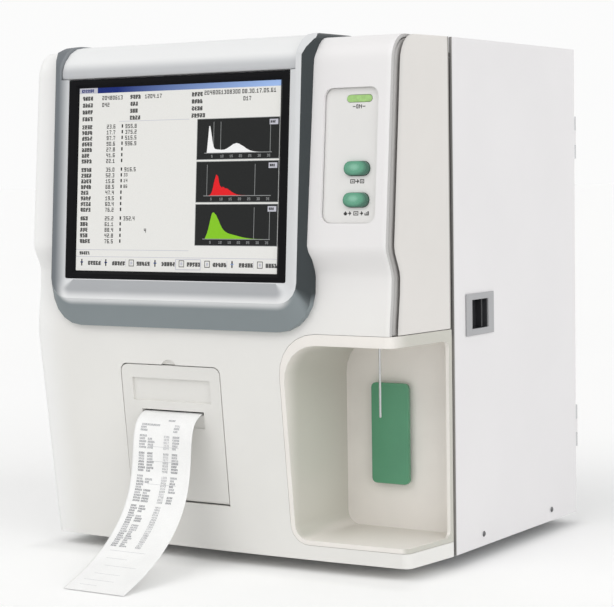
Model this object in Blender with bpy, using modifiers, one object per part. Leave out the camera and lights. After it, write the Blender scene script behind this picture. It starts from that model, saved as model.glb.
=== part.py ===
"""Bench-top hematology analyzer, modelled piece by piece at its real size.

Metres, +Z up. The front faces -Y. The origin is on the bench, under the middle of the whole outline.
"""
import math

import bmesh
import bpy
from mathutils import Matrix, Vector

# Gaps and cuts
GAP = 0.0003
OVERRUN = 0.002

# Cabinet
CABINET_WIDTH = 0.351
CABINET_HEIGHT = 0.399
CABINET_DEPTH = 0.2244
SHEET = 0.0015
RETURN_FLANGE = 0.012
TRAY_HEIGHT = 0.014
SEAM_GAP = 0.0036

# Feet
FOOT_HEIGHT = 0.010
FOOT_RADIUS = 0.011
FOOT_INSET = 0.038
FOOT_REAR_INSET = 0.030
FOOT_STUD_RADIUS = 0.003

# Fascia: how far the front reaches before the seam at each height above the cabinet's underside
SILL_REACH = 0.060
BELLY_REACH = 0.0825
BELLY_HEIGHT = 0.170
WAIST_REACH = 0.0778
WAIST_HEIGHT = 0.2190
SHOULDER_REACH = 0.0861
SHOULDER_RISE = 0.024
BROW_REACH = 0.0746
CROWN_TALL = 0.022
CROWN_REACH = 0.0546
FASCIA_WALL = 0.0025
FASCIA_DRAFT = 0.0055
FRONT_BOW = 0.005
CORNER_RADIUS = 0.007
GROOVE_EDGE = 0.0085
GROOVE_WIDTH = 0.0026
CHEEK_SET_BACK = 0.004
CHEEK_LIP = 0.002
CHEEK_OVERLAP = 0.0015
CHEEK_WALL = 0.0035

# Screen
SCREEN_CENTRE_FROM_RIGHT = 0.1981
SCREEN_WIDTH = 0.2112
SCREEN_HEIGHT = 0.1575
SCREEN_BOTTOM = 0.2163
SCREEN_REACH = 0.0919
SCREEN_LEAN = math.radians(4.1)
SCREEN_THICKNESS = 0.009
SCREEN_BRACKET = 0.003
MASK_SIDE = 0.0082
MASK_END = 0.0053
MASK_SLOPE = 0.0024
MASK_DEPTH = 0.0022

# Bezel, in the screen's leaning plane
BEZEL_RISE = 0.0030
BEZEL_BURY = 0.0075
BEZEL_CREST_HALF = 0.1200
BEZEL_FOOT_HALF = 0.1249
BEZEL_INNER_HALF = 0.1066
BEZEL_INNER_CREST_HALF = 0.1130
BEZEL_CREST_DROP = 0.0188
BEZEL_FOOT_DROP = 0.0386
BEZEL_INNER_DROP = 0.0012
BEZEL_INNER_CREST_DROP = 0.0090
BEZEL_CREST_RADIUS = 0.018
BEZEL_FOOT_RADIUS = 0.030
BEZEL_INNER_RADIUS = 0.0015
BEZEL_INNER_CREST_RADIUS = 0.006
BEZEL_TOP_RISE = 0.0040
BEZEL_TOP_RADIUS = 0.029
BEZEL_BACK_REACH = 0.012
BEZEL_LINING = 0.0020
BEZEL_HORN_RADIUS = 0.008
CAP_RISE = 0.0030

# Controls
CONTROL_CENTRE_FROM_RIGHT = 0.0410
CONTROL_WIDTH = 0.0465
CONTROL_HEIGHT = 0.100
CONTROL_BOTTOM = 0.260
CONTROL_CORNER = 0.007
CONTROL_DEPTH = 0.003
CONTROL_PLATE = 0.002
CONTROL_FLANGE = 0.003
KEY_CENTRE_FROM_RIGHT = 0.0353
BUTTON_WIDTH = 0.0214
BUTTON_HEIGHT = 0.0106
BUTTON_PROUD = 0.0026
BUTTON_TRAVEL = 0.0015
BUTTON_STEM = 0.0022
PRINT_BUTTON_HEIGHT = 0.3004
RUN_BUTTON_HEIGHT = 0.2772
LAMP_HEIGHT = 0.3520
LAMP_WIDTH = 0.0215
LAMP_TALL = 0.0052
KEY_BOARD = 0.0016
KEY_BOARD_STANDOFF = 0.008

# Sample bay
BAY_LEFT_FROM_RIGHT = 0.1065
BAY_SEAM_BOTTOM = 0.0115
BAY_SEAM_TOP = 0.1765
BAY_SEAM_TOP_RADIUS = 0.034
BAY_SEAM_BOTTOM_RADIUS = 0.015
BAY_RIM = 0.0040
BAY_HEADER = 0.0088
BAY_WALL = 0.0025
BAY_BACK = 0.0120
BAY_SIDE_POST = 0.0045
BAY_SIDE_RADIUS = 0.006
BAY_CHEEK = 0.0032
BAY_FILLET = 0.006

# Aspirate key
ASPIRATE_CENTRE_FROM_RIGHT = 0.0592
ASPIRATE_HEIGHT = 0.0915
ASPIRATE_WIDTH = 0.0335
ASPIRATE_TALL = 0.080
ASPIRATE_CORNER = 0.004
ASPIRATE_THICKNESS = 0.0040
ASPIRATE_TRAVEL = 0.0025
ASPIRATE_STEM = 0.004
SWITCH_BODY = 0.012
SWITCH_DEPTH = 0.008

# Probe
PROBE_FROM_RIGHT = 0.0515
PROBE_REACH = 0.022
PROBE_RADIUS = 0.0009
PROBE_TIP_HEIGHT = 0.1076
PROBE_LENGTH = 0.1494
WASH_RADIUS = 0.007
WASH_HEIGHT = 0.012
WASH_BORE = 0.0016
WASH_NECK = 0.0045
GUIDE_WIDTH = 0.044
GUIDE_THICKNESS = 0.003
GUIDE_HEIGHT = 0.176
CARRIAGE_HEIGHT = 0.018
CARRIAGE_WIDTH = 0.034
SCREW_OFFSET = 0.012
SCREW_RADIUS = 0.0025
SCREW_CLEARANCE = 0.0004
MOTOR_SIZE = 0.028
MOTOR_HEIGHT = 0.022

# Printer door and slot
DOOR_CENTRE_FROM_RIGHT = 0.2106
DOOR_WIDTH = 0.096
DOOR_HEIGHT = 0.110
DOOR_BOTTOM = 0.0375
DOOR_CORNER = 0.006
DOOR_THICKNESS = 0.0050
DOOR_SEAM = 0.0008
PANEL_FROM_TOP = 0.0105
PANEL_HEIGHT = 0.0185
PANEL_WIDTH = 0.076
PANEL_DEPTH = 0.0020
SLOT_FROM_TOP = 0.0375
SLOT_HEIGHT = 0.0030
SLOT_WIDTH = 0.0605
RAMP_HEIGHT = 0.012
RAMP_DEPTH = 0.0012
NOTCH_RADIUS = 0.008
PLATEN_RADIUS = 0.0045
PLATEN_SHAFT = 0.0016
PLATEN_BELOW_SLOT = 0.0052
PLATEN_BEHIND = 0.0102
EAR_THICKNESS = 0.003
HEAD_HEIGHT = 0.010
HEAD_DEPTH = 0.006
HEAD_ABOVE_PLATEN = 0.0012

# Paper
PAPER_WIDTH = 0.057
PAPER_THICKNESS = 0.0006
ROLL_RADIUS = 0.0215
SPINDLE_RADIUS = 0.0058
ROLL_BACK = 0.030
ROLL_HEIGHT = 0.0800
TUB_WALL = 0.002
TUB_CLEARANCE = 0.0025
STRIP_REACH = 0.1274
STRIP_DRIFT = 0.0164
STRIP_STEPS = 22

# Side door
DOOR_SHEET = 0.0018
HINGE_RADIUS = 0.0030
HINGE_PIN = 0.0013
HINGE_SET_IN = 0.0032
HINGE_BEHIND = 0.0030
HINGE_LEAF = 0.022
HINGE_KNUCKLE = 0.012
HINGE_FROM_END = 0.075
LATCH_FROM_FRONT = 0.0455
LATCH_HEIGHT = 0.1852
LATCH_WIDTH = 0.0463
LATCH_TALL = 0.0328
LATCH_PROUD = 0.0012
LATCH_RIM = 0.0095
LATCH_DEPTH = 0.0095
LATCH_WALL = 0.0012
LATCH_TRAVEL = 0.006
SLIDER_THICKNESS = 0.003
GRIP_THICKNESS = 0.0022
SCREW_HEAD = 0.0024
SCREW_HEAD_PROUD = 0.0007
SCREW_SHANK = 0.0013
SCREW_SHARE = 0.2225
SCREW_RISE = 0.0095
RAIL_HEIGHT = 0.014
RAIL_DEPTH = 0.006

# Inside
PARTITION_FROM_RIGHT = 0.1230
PARTITION_HEIGHT = 0.300
FRAME_MARGIN = 0.004
SHELF_HEIGHT = 0.190
SHELF_DEPTH = 0.056
SHELF_WIDTH = 0.092
BATH_RADIUS = 0.011
BATH_HEIGHT = 0.036
BATH_WALL = 0.0018
VALVE_COUNT = 5
VALVE_RADIUS = 0.0055
VALVE_LENGTH = 0.018
VALVE_BLOCK_DEPTH = 0.012
VALVE_BLOCK_TALL = 0.022
VALVE_PITCH = 0.015
VALVE_LEVEL = 0.130
BARREL_RADIUS = 0.007
BARREL_BORE = 0.0052
BARREL_LENGTH = 0.056
BARREL_LEVEL = 0.235
PLUNGER_ROD = 0.0022
PUMP_RADIUS = 0.016
PUMP_LENGTH = 0.046
PUMP_HEAD = 0.038
SUPPLY_WIDTH = 0.098
SUPPLY_DEPTH = 0.130
SUPPLY_HEIGHT = 0.042
BOARD_WIDTH = 0.170
BOARD_HEIGHT = 0.150
BOARD_THICKNESS = 0.0016
BOARD_LEVEL = 0.165
BOARD_STANDOFF = 0.006

# Rear panel and its fittings
FAN_SIZE = 0.060
FAN_DEPTH = 0.015
FAN_RADIUS = 0.027
FAN_HUB = 0.011
FAN_BLADES = 7
FAN_LEVEL = 0.318
FAN_FROM_RIGHT = 0.250
GRILLE_SLOT = 0.0042
GRILLE_SLOTS = 6
INLET_WIDTH = 0.048
INLET_HEIGHT = 0.028
INLET_DEPTH = 0.022
INLET_LEVEL = 0.060
INLET_FROM_RIGHT = 0.300
ROCKER_WIDTH = 0.013
ROCKER_HEIGHT = 0.019
ROCKER_LEVEL = 0.098
ROCKER_DEPTH = 0.005
ROCKER_PIVOT = 0.0012
PORT_COUNT = 4
PORT_PITCH = 0.018
PORT_RADIUS = 0.0050
PORT_BORE = 0.0022
PORT_REACH = 0.0120
PORT_LEVEL = 0.120
PORT_FROM_RIGHT = 0.062
PORT_PLATE = 0.002
DATA_WIDTH = 0.086
DATA_HEIGHT = 0.016
DATA_LEVEL = 0.190
DATA_FROM_RIGHT = 0.245
DATA_DEPTH = 0.010

# Smaller sizes that belong to the pieces above
TRAY_LIFT = 0.0031
TRAY_REACH = 0.040
COVER_SEAM = 0.0006
FOOT_FRONT_REACH = 0.008
FOOT_STUD_PROUD = 0.004
FOOT_TAPER_SHARE = 0.90
SCREW_BITE = 0.0032
HEAD_TOP_SHARE = 0.62
WINDOW_SHARE = 0.72
DOOR_CUT_DEPTH = 0.040
BOSS_WIDTH = 0.006
BOSS_HALF = 0.0045
BOSS_DEPTH = 0.006
DOOR_PIN = 0.0009
NOTCH_DEPTH = 0.0016
NOTCH_FROM_RIGHT = 0.2110
NOTCH_DROP = 0.0034
BEZEL_BEAD = 0.0019
CAP_PROUD = 0.0024
CAP_TUCK = 0.0022
CAP_ROLL = 0.011
BRACKET_ARM = 0.008
BRACKET_ARM_SHARE = 0.92
CAPSULE_SHARE = 0.98
BUTTON_ROUND_SHARE = 0.75
EAR_CLEARANCE = 0.0012
EAR_HALF = 0.0042
GEAR_TEETH = 14
GEAR_RADIUS = 0.0046
GEAR_TOOTH = 0.0009
GEAR_WIDTH = 0.003
TUB_HEADROOM = 0.004
SPINDLE_NECK_SHARE = 0.6
STRIP_FLOOR = 0.0007
FRONT_SPAN = 0.130
PROBE_PROUD = 0.004
SCREW_NECK_SHARE = 0.6
SHELF_FROM_BAY = 0.012
BATH_STUB = 0.008
STUB_SHARE = 0.4
CONE_SHARE = 0.3
BARREL_PAD = 0.003
SYRINGE_FROM_VALVES = 0.022
PLUNGER_TAIL = 0.016
PLUNGER_HEAD = 0.006
PUMP_MARGIN = 0.012
SUPPLY_MARGIN = 0.012
SUPPLY_VENTS = 8
VENT_SHARE = 0.7
STANDOFF_RADIUS = 0.0025
CHIP_HEIGHT = 0.0022
FAN_TIP_GAP = 0.0012
FAN_PITCH = math.radians(32)
FLANGE_THICK = 0.0016
FLANGE_WIDE = 0.004
INLET_WELL_SHARE = 0.8
DATA_TALL_SHARE = 0.34
ROCKER_BODY = 0.003
ROCKER_BODY_SHARE = 0.7
ROCKER_DISH = 0.0026
NIPPLE_SHARE = 0.68
HINGE_WEB = 0.004
LATCH_RIM_TALL = 0.0050
GRIP_SUNK = 0.0010
RAIL_SHARE = 0.08
MOTOR_ROUNDING = 0.002
PUMP_ROUNDING = 0.0024
FAN_ROUNDING = 0.003
FAN_STRUTS = 3
BOW_SHARES = (0.6, 0.2, -0.2, -0.6)
ARM_LEVEL_SHARES = (0.12, 0.88)
STRIP_FORWARD_SHARES = (0.0, 0.3213, -0.1231, 1.0)
STRIP_FALL_SHARES = (0.0, 0.0801, 0.654, 1.0)
STRIP_LOOK_SHARE = 0.01
STANDOFF_SHARES = ((0.08, 0.1), (0.92, 0.1), (0.08, 0.9), (0.92, 0.9))
CHIP_SHARES = ((0.3, 0.6, 0.16), (0.62, 0.55, 0.2), (0.5, 0.2, 0.12))
SOCKET_SHARES = ((-0.26, 0.34), (0.08, 0.16), (0.32, 0.16))
ROCKER_SADDLE_SHARE = 0.4
ROCKER_CREST_SHARE = 0.96

# Planes worked out from the sizes above
RIGHT = CABINET_WIDTH / 2
LEFT = -RIGHT
UNDER = FOOT_HEIGHT
SHOULDER_HEIGHT = WAIST_HEIGHT + SHOULDER_RISE
BROW_HEIGHT = CABINET_HEIGHT - CROWN_TALL
ROOF = FOOT_HEIGHT + CABINET_HEIGHT
SLOT_LEVEL = DOOR_BOTTOM + DOOR_HEIGHT - SLOT_FROM_TOP
LOWER_SLOPE = (BELLY_REACH - SILL_REACH) / BELLY_HEIGHT
COLUMN_SLOPE = (SHOULDER_REACH - BROW_REACH) / (BROW_HEIGHT - SHOULDER_HEIGHT)
COLUMN_LEAN = math.atan(COLUMN_SLOPE)
FRONT_MOST = SILL_REACH + LOWER_SLOPE * SLOT_LEVEL + STRIP_REACH
REAR_MOST = CABINET_DEPTH + PORT_REACH
SEAM = (FRONT_MOST - REAR_MOST) / 2
BACK = SEAM + CABINET_DEPTH
TRAY_BOTTOM = UNDER + TRAY_LIFT
TRAY_TOP = TRAY_BOTTOM + TRAY_HEIGHT
REAR_PANEL_BACK = BACK - SHEET
REAR_PANEL_FRONT = REAR_PANEL_BACK - SHEET
FRAME_FRONT = SEAM + GAP


def scene_start():
    for item in list(bpy.data.objects):
        bpy.data.objects.remove(item, do_unlink=True)
    for group in list(bpy.data.collections):
        bpy.data.collections.remove(group)
    parts = bpy.data.collections.new("hematology_analyzer")
    cutters = bpy.data.collections.new("cutters")
    bpy.context.scene.collection.children.link(parts)
    bpy.context.scene.collection.children.link(cutters)
    return parts, cutters


PARTS, CUTTERS = scene_start()
MATERIALS = {}


def material(name, colour, roughness, metallic=0.0):
    if name not in MATERIALS:
        made = bpy.data.materials.new(name)
        made.use_nodes = True
        shader = made.node_tree.nodes["Principled BSDF"]
        shader.inputs["Base Color"].default_value = (*colour, 1.0)
        shader.inputs["Roughness"].default_value = roughness
        shader.inputs["Metallic"].default_value = metallic
        MATERIALS[name] = made
    return MATERIALS[name]


WHITE = material("fascia_white", (0.86, 0.86, 0.84), 0.45)
SHELL = material("cabinet_white", (0.80, 0.80, 0.80), 0.50)
SLATE = material("bezel_grey", (0.36, 0.42, 0.45), 0.40)
SILVER = material("cap_grey", (0.70, 0.74, 0.76), 0.40)
DARK = material("dark_plastic", (0.03, 0.03, 0.035), 0.40)
GREY = material("latch_grey", (0.38, 0.40, 0.43), 0.45)
GREEN = material("key_green", (0.09, 0.36, 0.20), 0.35)
LAMP = material("lamp_green", (0.30, 0.70, 0.25), 0.25)
GLASS = material("screen_glass", (0.75, 0.78, 0.82), 0.15)
STEEL = material("steel", (0.62, 0.63, 0.64), 0.30, 1.0)
ZINC = material("zinc_sheet", (0.55, 0.56, 0.57), 0.45, 1.0)
RUBBER = material("rubber", (0.04, 0.04, 0.04), 0.80)
PAPER = material("paper", (0.90, 0.90, 0.88), 0.85)
BOARD = material("circuit_board", (0.03, 0.22, 0.09), 0.50)
CLEAR = material("clear_plastic", (0.75, 0.80, 0.82), 0.15)


def keep(thing, name, paint, cutter=False):
    """Names an object, puts it in its collection and gives it its material."""
    thing.name = name
    thing.data.name = name
    thing.data.materials.clear()
    if cutter:
        CUTTERS.objects.link(thing)
        thing.hide_render = True
        thing.display_type = 'WIRE'
    else:
        thing.data.materials.append(paint)
        PARTS.objects.link(thing)
    return thing


def from_bmesh(shape, name, paint, cutter=False):
    mesh = bpy.data.meshes.new(name)
    bmesh.ops.recalc_face_normals(shape, faces=shape.faces)
    shape.to_mesh(mesh)
    shape.free()
    return keep(bpy.data.objects.new(name, mesh), name, paint, cutter)


def block(name, low, high, paint=None, cutter=False, round_by=0.0, steps=2):
    """A box between two corners, its object at its own middle."""
    low = Vector(low)
    high = Vector(high)
    shape = bmesh.new()
    bmesh.ops.create_cube(shape, size=1.0)
    bmesh.ops.scale(shape, vec=high - low, verts=shape.verts)
    made = from_bmesh(shape, name, paint, cutter)
    made.location = (low + high) / 2
    if round_by:
        soften(made, round_by, steps)
    return made


def soften(thing, width, steps=2, angle=math.radians(35)):
    bevel = thing.modifiers.new("rounded edges", 'BEVEL')
    bevel.width = width
    bevel.segments = steps
    bevel.limit_method = 'ANGLE'
    bevel.angle_limit = angle
    return thing


TURN = {
    "x": (0.0, math.pi / 2, 0.0),
    "y": (math.pi / 2, 0.0, 0.0),
    "z": (0.0, 0.0, 0.0),
}


def rod(name, centre, radius, length, along, paint=None, cutter=False, sides=20, round_by=0.0):
    shape = bmesh.new()
    bmesh.ops.create_cone(
        shape, cap_ends=True, segments=sides, radius1=radius, radius2=radius, depth=length)
    made = from_bmesh(shape, name, paint, cutter)
    made.rotation_euler = TURN[along]
    made.location = centre
    for face in made.data.polygons:
        face.use_smooth = len(face.vertices) == 4
    if round_by:
        soften(made, round_by, 1)
    return made


PLANE_TURN = {
    "front": Matrix(((1, 0, 0), (0, 0, -1), (0, 1, 0))),
    "side": Matrix(((0, 0, 1), (1, 0, 0), (0, 1, 0))),
    "top": Matrix.Identity(3),
}


def sheet_outline(name, points, thickness, plane, centre, paint=None, cutter=False, holes=(), lean=0.0):
    """A flat outline given its thickness, then made a mesh so that it can be cut and joined.

    front: outline in X and Z, thickness along Y. side: in Y and Z, along X. top: in X and Y, along Z.
    """
    curve = bpy.data.curves.new(name, 'CURVE')
    curve.dimensions = '2D'
    curve.fill_mode = 'BOTH'
    curve.extrude = thickness / 2
    for ring in (points, *holes):
        line = curve.splines.new('POLY')
        line.points.add(len(ring) - 1)
        for spot, place in zip(line.points, ring):
            spot.co = (place[0], place[1], 0.0, 1.0)
        line.use_cyclic_u = True
    drawn = bpy.data.objects.new(name, curve)
    bpy.context.scene.collection.objects.link(drawn)
    turn = Matrix.Rotation(lean, 3, 'X') @ PLANE_TURN[plane]
    drawn.matrix_world = Matrix.Translation(centre) @ turn.to_4x4()
    bpy.context.view_layer.update()
    seen = drawn.evaluated_get(bpy.context.evaluated_depsgraph_get())
    mesh = bpy.data.meshes.new_from_object(seen)
    made = bpy.data.objects.new(name, mesh)
    made.matrix_world = drawn.matrix_world.copy()
    bpy.data.objects.remove(drawn, do_unlink=True)
    bpy.data.curves.remove(curve)
    shape = bmesh.new()
    shape.from_mesh(mesh)
    bmesh.ops.remove_doubles(shape, verts=shape.verts, dist=GAP / 100)
    bmesh.ops.recalc_face_normals(shape, faces=shape.faces)
    shape.to_mesh(mesh)
    shape.free()
    mesh.name = name
    return keep(made, name, paint, cutter)


def turned(name, profile, centre, along, paint=None, cutter=False, steps=24):
    """A profile of (radius, height) turned about its axis, listed from the top down on its outer side."""
    shape = bmesh.new()
    spots = [shape.verts.new((radius, 0.0, height)) for radius, height in profile]
    for first, second in zip(spots, spots[1:]):
        shape.edges.new((first, second))
    mesh = bpy.data.meshes.new(name)
    shape.to_mesh(mesh)
    shape.free()
    made = keep(bpy.data.objects.new(name, mesh), name, paint, cutter)
    screw = made.modifiers.new("turn", 'SCREW')
    screw.axis = 'Z'
    screw.steps = steps
    screw.render_steps = steps
    screw.use_merge_vertices = True
    screw.merge_threshold = GAP / 10
    made.rotation_euler = TURN[along]
    made.location = centre
    return made


def cut(thing, *tools):
    for tool in tools:
        step = thing.modifiers.new("cut by " + tool.name, 'BOOLEAN')
        step.operation = 'DIFFERENCE'
        step.object = tool
    return thing


def join(thing, *tools):
    for tool in tools:
        step = thing.modifiers.new("join " + tool.name, 'BOOLEAN')
        step.operation = 'UNION'
        step.object = tool
    return thing


def within(thing, tool):
    step = thing.modifiers.new("keep inside " + tool.name, 'BOOLEAN')
    step.operation = 'INTERSECT'
    step.object = tool
    return thing


def loft(name, rings, paint=None, cutter=False):
    """A closed skin through rings with the same number of points, capped at both ends."""
    shape = bmesh.new()
    rows = [[shape.verts.new(spot) for spot in ring] for ring in rings]
    count = len(rows[0])
    for lower, upper in zip(rows, rows[1:]):
        for index in range(count):
            after = (index + 1) % count
            shape.faces.new((lower[index], lower[after], upper[after], upper[index]))
    shape.faces.new(list(reversed(rows[0])))
    shape.faces.new(rows[-1])
    bmesh.ops.triangulate(shape, faces=shape.faces)
    return from_bmesh(shape, name, paint, cutter)


def arc(centre, radius, start, end, steps):
    """Points on an arc, angles in degrees."""
    spots = []
    for index in range(steps + 1):
        angle = math.radians(start + (end - start) * index / steps)
        spots.append((centre[0] + radius * math.cos(angle), centre[1] + radius * math.sin(angle)))
    return spots


def round_box(left, right, bottom, top, radii, steps=4):
    """Corners in the order bottom right, top right, top left, bottom left, each with its own radius."""
    corners = ((right, bottom, 270), (right, top, 0), (left, top, 90), (left, bottom, 180))
    signs = ((-1, 1), (-1, -1), (1, -1), (1, 1))
    spots = []
    for (x, y, start), (sx, sy), radius in zip(corners, signs, radii):
        if radius > 0:
            spots += arc((x + sx * radius, y + sy * radius), radius, start, start + 90, steps)
        else:
            spots.append((x, y))
    return spots


def ease(share):
    return share * share * (3 - 2 * share)


def front_reach(height, inset=0.0):
    """How far the fascia stands before the seam at a height above the cabinet's underside."""
    if height <= BELLY_HEIGHT:
        return SILL_REACH + LOWER_SLOPE * height - inset
    if height <= WAIST_HEIGHT:
        share = ease((height - BELLY_HEIGHT) / (WAIST_HEIGHT - BELLY_HEIGHT))
        return BELLY_REACH + (WAIST_REACH - BELLY_REACH) * share - inset
    if height <= SHOULDER_HEIGHT:
        share = ease((height - WAIST_HEIGHT) / (SHOULDER_HEIGHT - WAIST_HEIGHT))
        return WAIST_REACH + (SHOULDER_REACH - WAIST_REACH) * share - inset
    if height <= BROW_HEIGHT:
        return SHOULDER_REACH - COLUMN_SLOPE * (height - SHOULDER_HEIGHT) - inset
    tall = CABINET_HEIGHT - BROW_HEIGHT - inset
    deep = BROW_REACH - CROWN_REACH - inset
    share = min(1.0, (height - BROW_HEIGHT) / tall)
    return CROWN_REACH + deep * math.sqrt(max(0.0, 1 - share * share))


def profile_heights(inset=0.0, lowest=0.0):
    """Heights at which the fascia's outline is taken, closer together where it curves."""
    heights = [lowest + inset, BELLY_HEIGHT]
    for index in range(1, 5):
        heights.append(BELLY_HEIGHT + (WAIST_HEIGHT - BELLY_HEIGHT) * index / 4)
    for index in range(1, 6):
        heights.append(WAIST_HEIGHT + (SHOULDER_HEIGHT - WAIST_HEIGHT) * index / 5)
    heights.append(BROW_HEIGHT)
    tall = CABINET_HEIGHT - BROW_HEIGHT - inset
    for index in range(1, 7):
        heights.append(BROW_HEIGHT + tall * math.sin(math.radians(90 * index / 6)))
    return [height for height in heights if height >= lowest + inset]


def bow_at(height):
    return FRONT_BOW * max(0.0, 1 - height / BELLY_HEIGHT)


def fascia_ring(height, inset, behind):
    """The fascia's outline seen from above at one height."""
    back_half = RIGHT - inset
    front_half = RIGHT - FASCIA_DRAFT - inset
    radius = CORNER_RADIUS - inset if inset > 0 else CORNER_RADIUS
    reach = front_reach(height, inset)
    flat_half = front_half - radius
    right_side = [(back_half, behind)]
    if behind > 0:
        right_side.append((back_half, 0.0))
    right_side += arc((flat_half, -(reach - radius)), radius, 0, -90, 3)
    bowed = []
    for share in BOW_SHARES:
        bowed.append((flat_half * share, -(reach + bow_at(height) * (1 - share * share))))
    left_side = [(-x, y) for x, y in reversed(right_side)]
    return [(x, SEAM + y, UNDER + height) for x, y in right_side + bowed + left_side]


def fascia_solid(name, inset, behind, paint=None, cutter=True):
    rings = [fascia_ring(height, inset, behind) for height in profile_heights(inset)]
    return loft(name, rings, paint, cutter)


def lean_back(things, pivot, angle):
    """Turns upright pieces about the X line through a point, as the face that they sit in leans."""
    turn = Matrix.Translation(pivot) @ Matrix.Rotation(angle, 4, 'X') @ Matrix.Translation(-Vector(pivot))
    for thing in things:
        thing.matrix_world = turn @ matrix_of(thing)


def matrix_of(thing):
    """An object's place before Blender has worked it out."""
    if thing.rotation_mode == 'XYZ':
        turn = thing.rotation_euler.to_matrix().to_4x4()
    else:
        turn = thing.rotation_quaternion.to_matrix().to_4x4()
    return Matrix.Translation(thing.location) @ turn


def on_axis(name, place, *pieces):
    """An empty on a joint's axis that carries the pieces that move about it."""
    axis = bpy.data.objects.new(name, None)
    axis.location = place
    PARTS.objects.link(axis)
    for piece in pieces:
        piece.parent = axis
        piece.matrix_parent_inverse = Matrix.Translation(place).inverted()
    return axis


def make_feet():
    spots = {
        "foot_front_left": (LEFT + FOOT_INSET, SEAM - FOOT_FRONT_REACH),
        "foot_front_right": (RIGHT - FOOT_INSET, SEAM - FOOT_FRONT_REACH),
        "foot_rear_left": (LEFT + FOOT_INSET, BACK - FOOT_REAR_INSET),
        "foot_rear_right": (RIGHT - FOOT_INSET, BACK - FOOT_REAR_INSET),
    }
    top = FOOT_HEIGHT - GAP
    tip = TRAY_BOTTOM + FOOT_STUD_PROUD
    sole = FOOT_RADIUS * FOOT_TAPER_SHARE
    for name, (x, y) in spots.items():
        profile = [
            (0.0, tip),
            (FOOT_STUD_RADIUS, tip),
            (FOOT_STUD_RADIUS, top),
            (FOOT_RADIUS, top),
            (sole, 0.0),
            (0.0, 0.0),
        ]
        turned(name, profile, (x, y, 0.0), "z", RUBBER, steps=20)
    return spots


def foot_holes(name, feet):
    return [
        rod(name + str(index), (x, y, TRAY_BOTTOM), FOOT_STUD_RADIUS + GAP, 2 * TRAY_HEIGHT, "z",
            cutter=True, sides=20)
        for index, (x, y) in enumerate(feet.values())
    ]


def make_base_tray(feet):
    """Sheet tray under the cabinet, with an upturned edge and a hole for each foot's stud."""
    low = Vector((LEFT + SHEET + GAP, SEAM - TRAY_REACH, TRAY_BOTTOM))
    high = Vector((RIGHT - DOOR_SHEET - RAIL_DEPTH - 2 * GAP, REAR_PANEL_FRONT - GAP, TRAY_TOP))
    tray = block("base_tray", low, high, ZINC)
    bay_left = RIGHT - BAY_LEFT_FROM_RIGHT - FRAME_MARGIN
    wall = Vector((SHEET, SHEET, 0.0))
    hollow = block("tray_hollow", low + wall + Vector((0.0, 0.0, SHEET)),
                   high - wall + Vector((0.0, 0.0, OVERRUN)), cutter=True)
    corner = block("tray_corner", (LEFT - OVERRUN, SEAM - TRAY_REACH - OVERRUN, TRAY_BOTTOM - OVERRUN),
                   (LEFT + FASCIA_DRAFT + FASCIA_WALL + GAP, SEAM - GAP, TRAY_TOP + OVERRUN), cutter=True)
    under_bay = block("tray_under_bay",
                      (bay_left, SEAM - TRAY_REACH - OVERRUN, UNDER + BAY_SEAM_BOTTOM - GAP),
                      (RIGHT, SEAM + BAY_BACK + BAY_WALL + GAP, TRAY_TOP + OVERRUN), cutter=True)
    cut(tray, hollow, corner, under_bay, *foot_holes("tray_hole", feet))


def make_top_cover():
    """One bent sheet: the roof, the left side and a short return that the side door closes over."""
    roof_right = RIGHT - DOOR_SHEET - GAP
    points = [
        (LEFT, UNDER), (LEFT + SHEET, UNDER), (LEFT + SHEET, ROOF - SHEET),
        (roof_right - SHEET, ROOF - SHEET), (roof_right - SHEET, ROOF - RETURN_FLANGE),
        (roof_right, ROOF - RETURN_FLANGE), (roof_right, ROOF), (LEFT, ROOF),
    ]
    cover = sheet_outline("top_cover", points, BACK - SEAM - COVER_SEAM, "front",
                          (0.0, (SEAM + COVER_SEAM + BACK) / 2, 0.0), SHELL)
    return cover


def make_screw(name, place, length):
    """A pan-head screw whose head stands on the sheet and whose shank points inward."""
    head = GAP + SCREW_HEAD_PROUD
    profile = [
        (0.0, head),
        (SCREW_HEAD * HEAD_TOP_SHARE, head),
        (SCREW_HEAD, GAP),
        (SCREW_SHANK, GAP),
        (SCREW_SHANK, -length),
        (0.0, -length),
    ]
    return turned(name, profile, place, "x", STEEL, steps=16)


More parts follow.
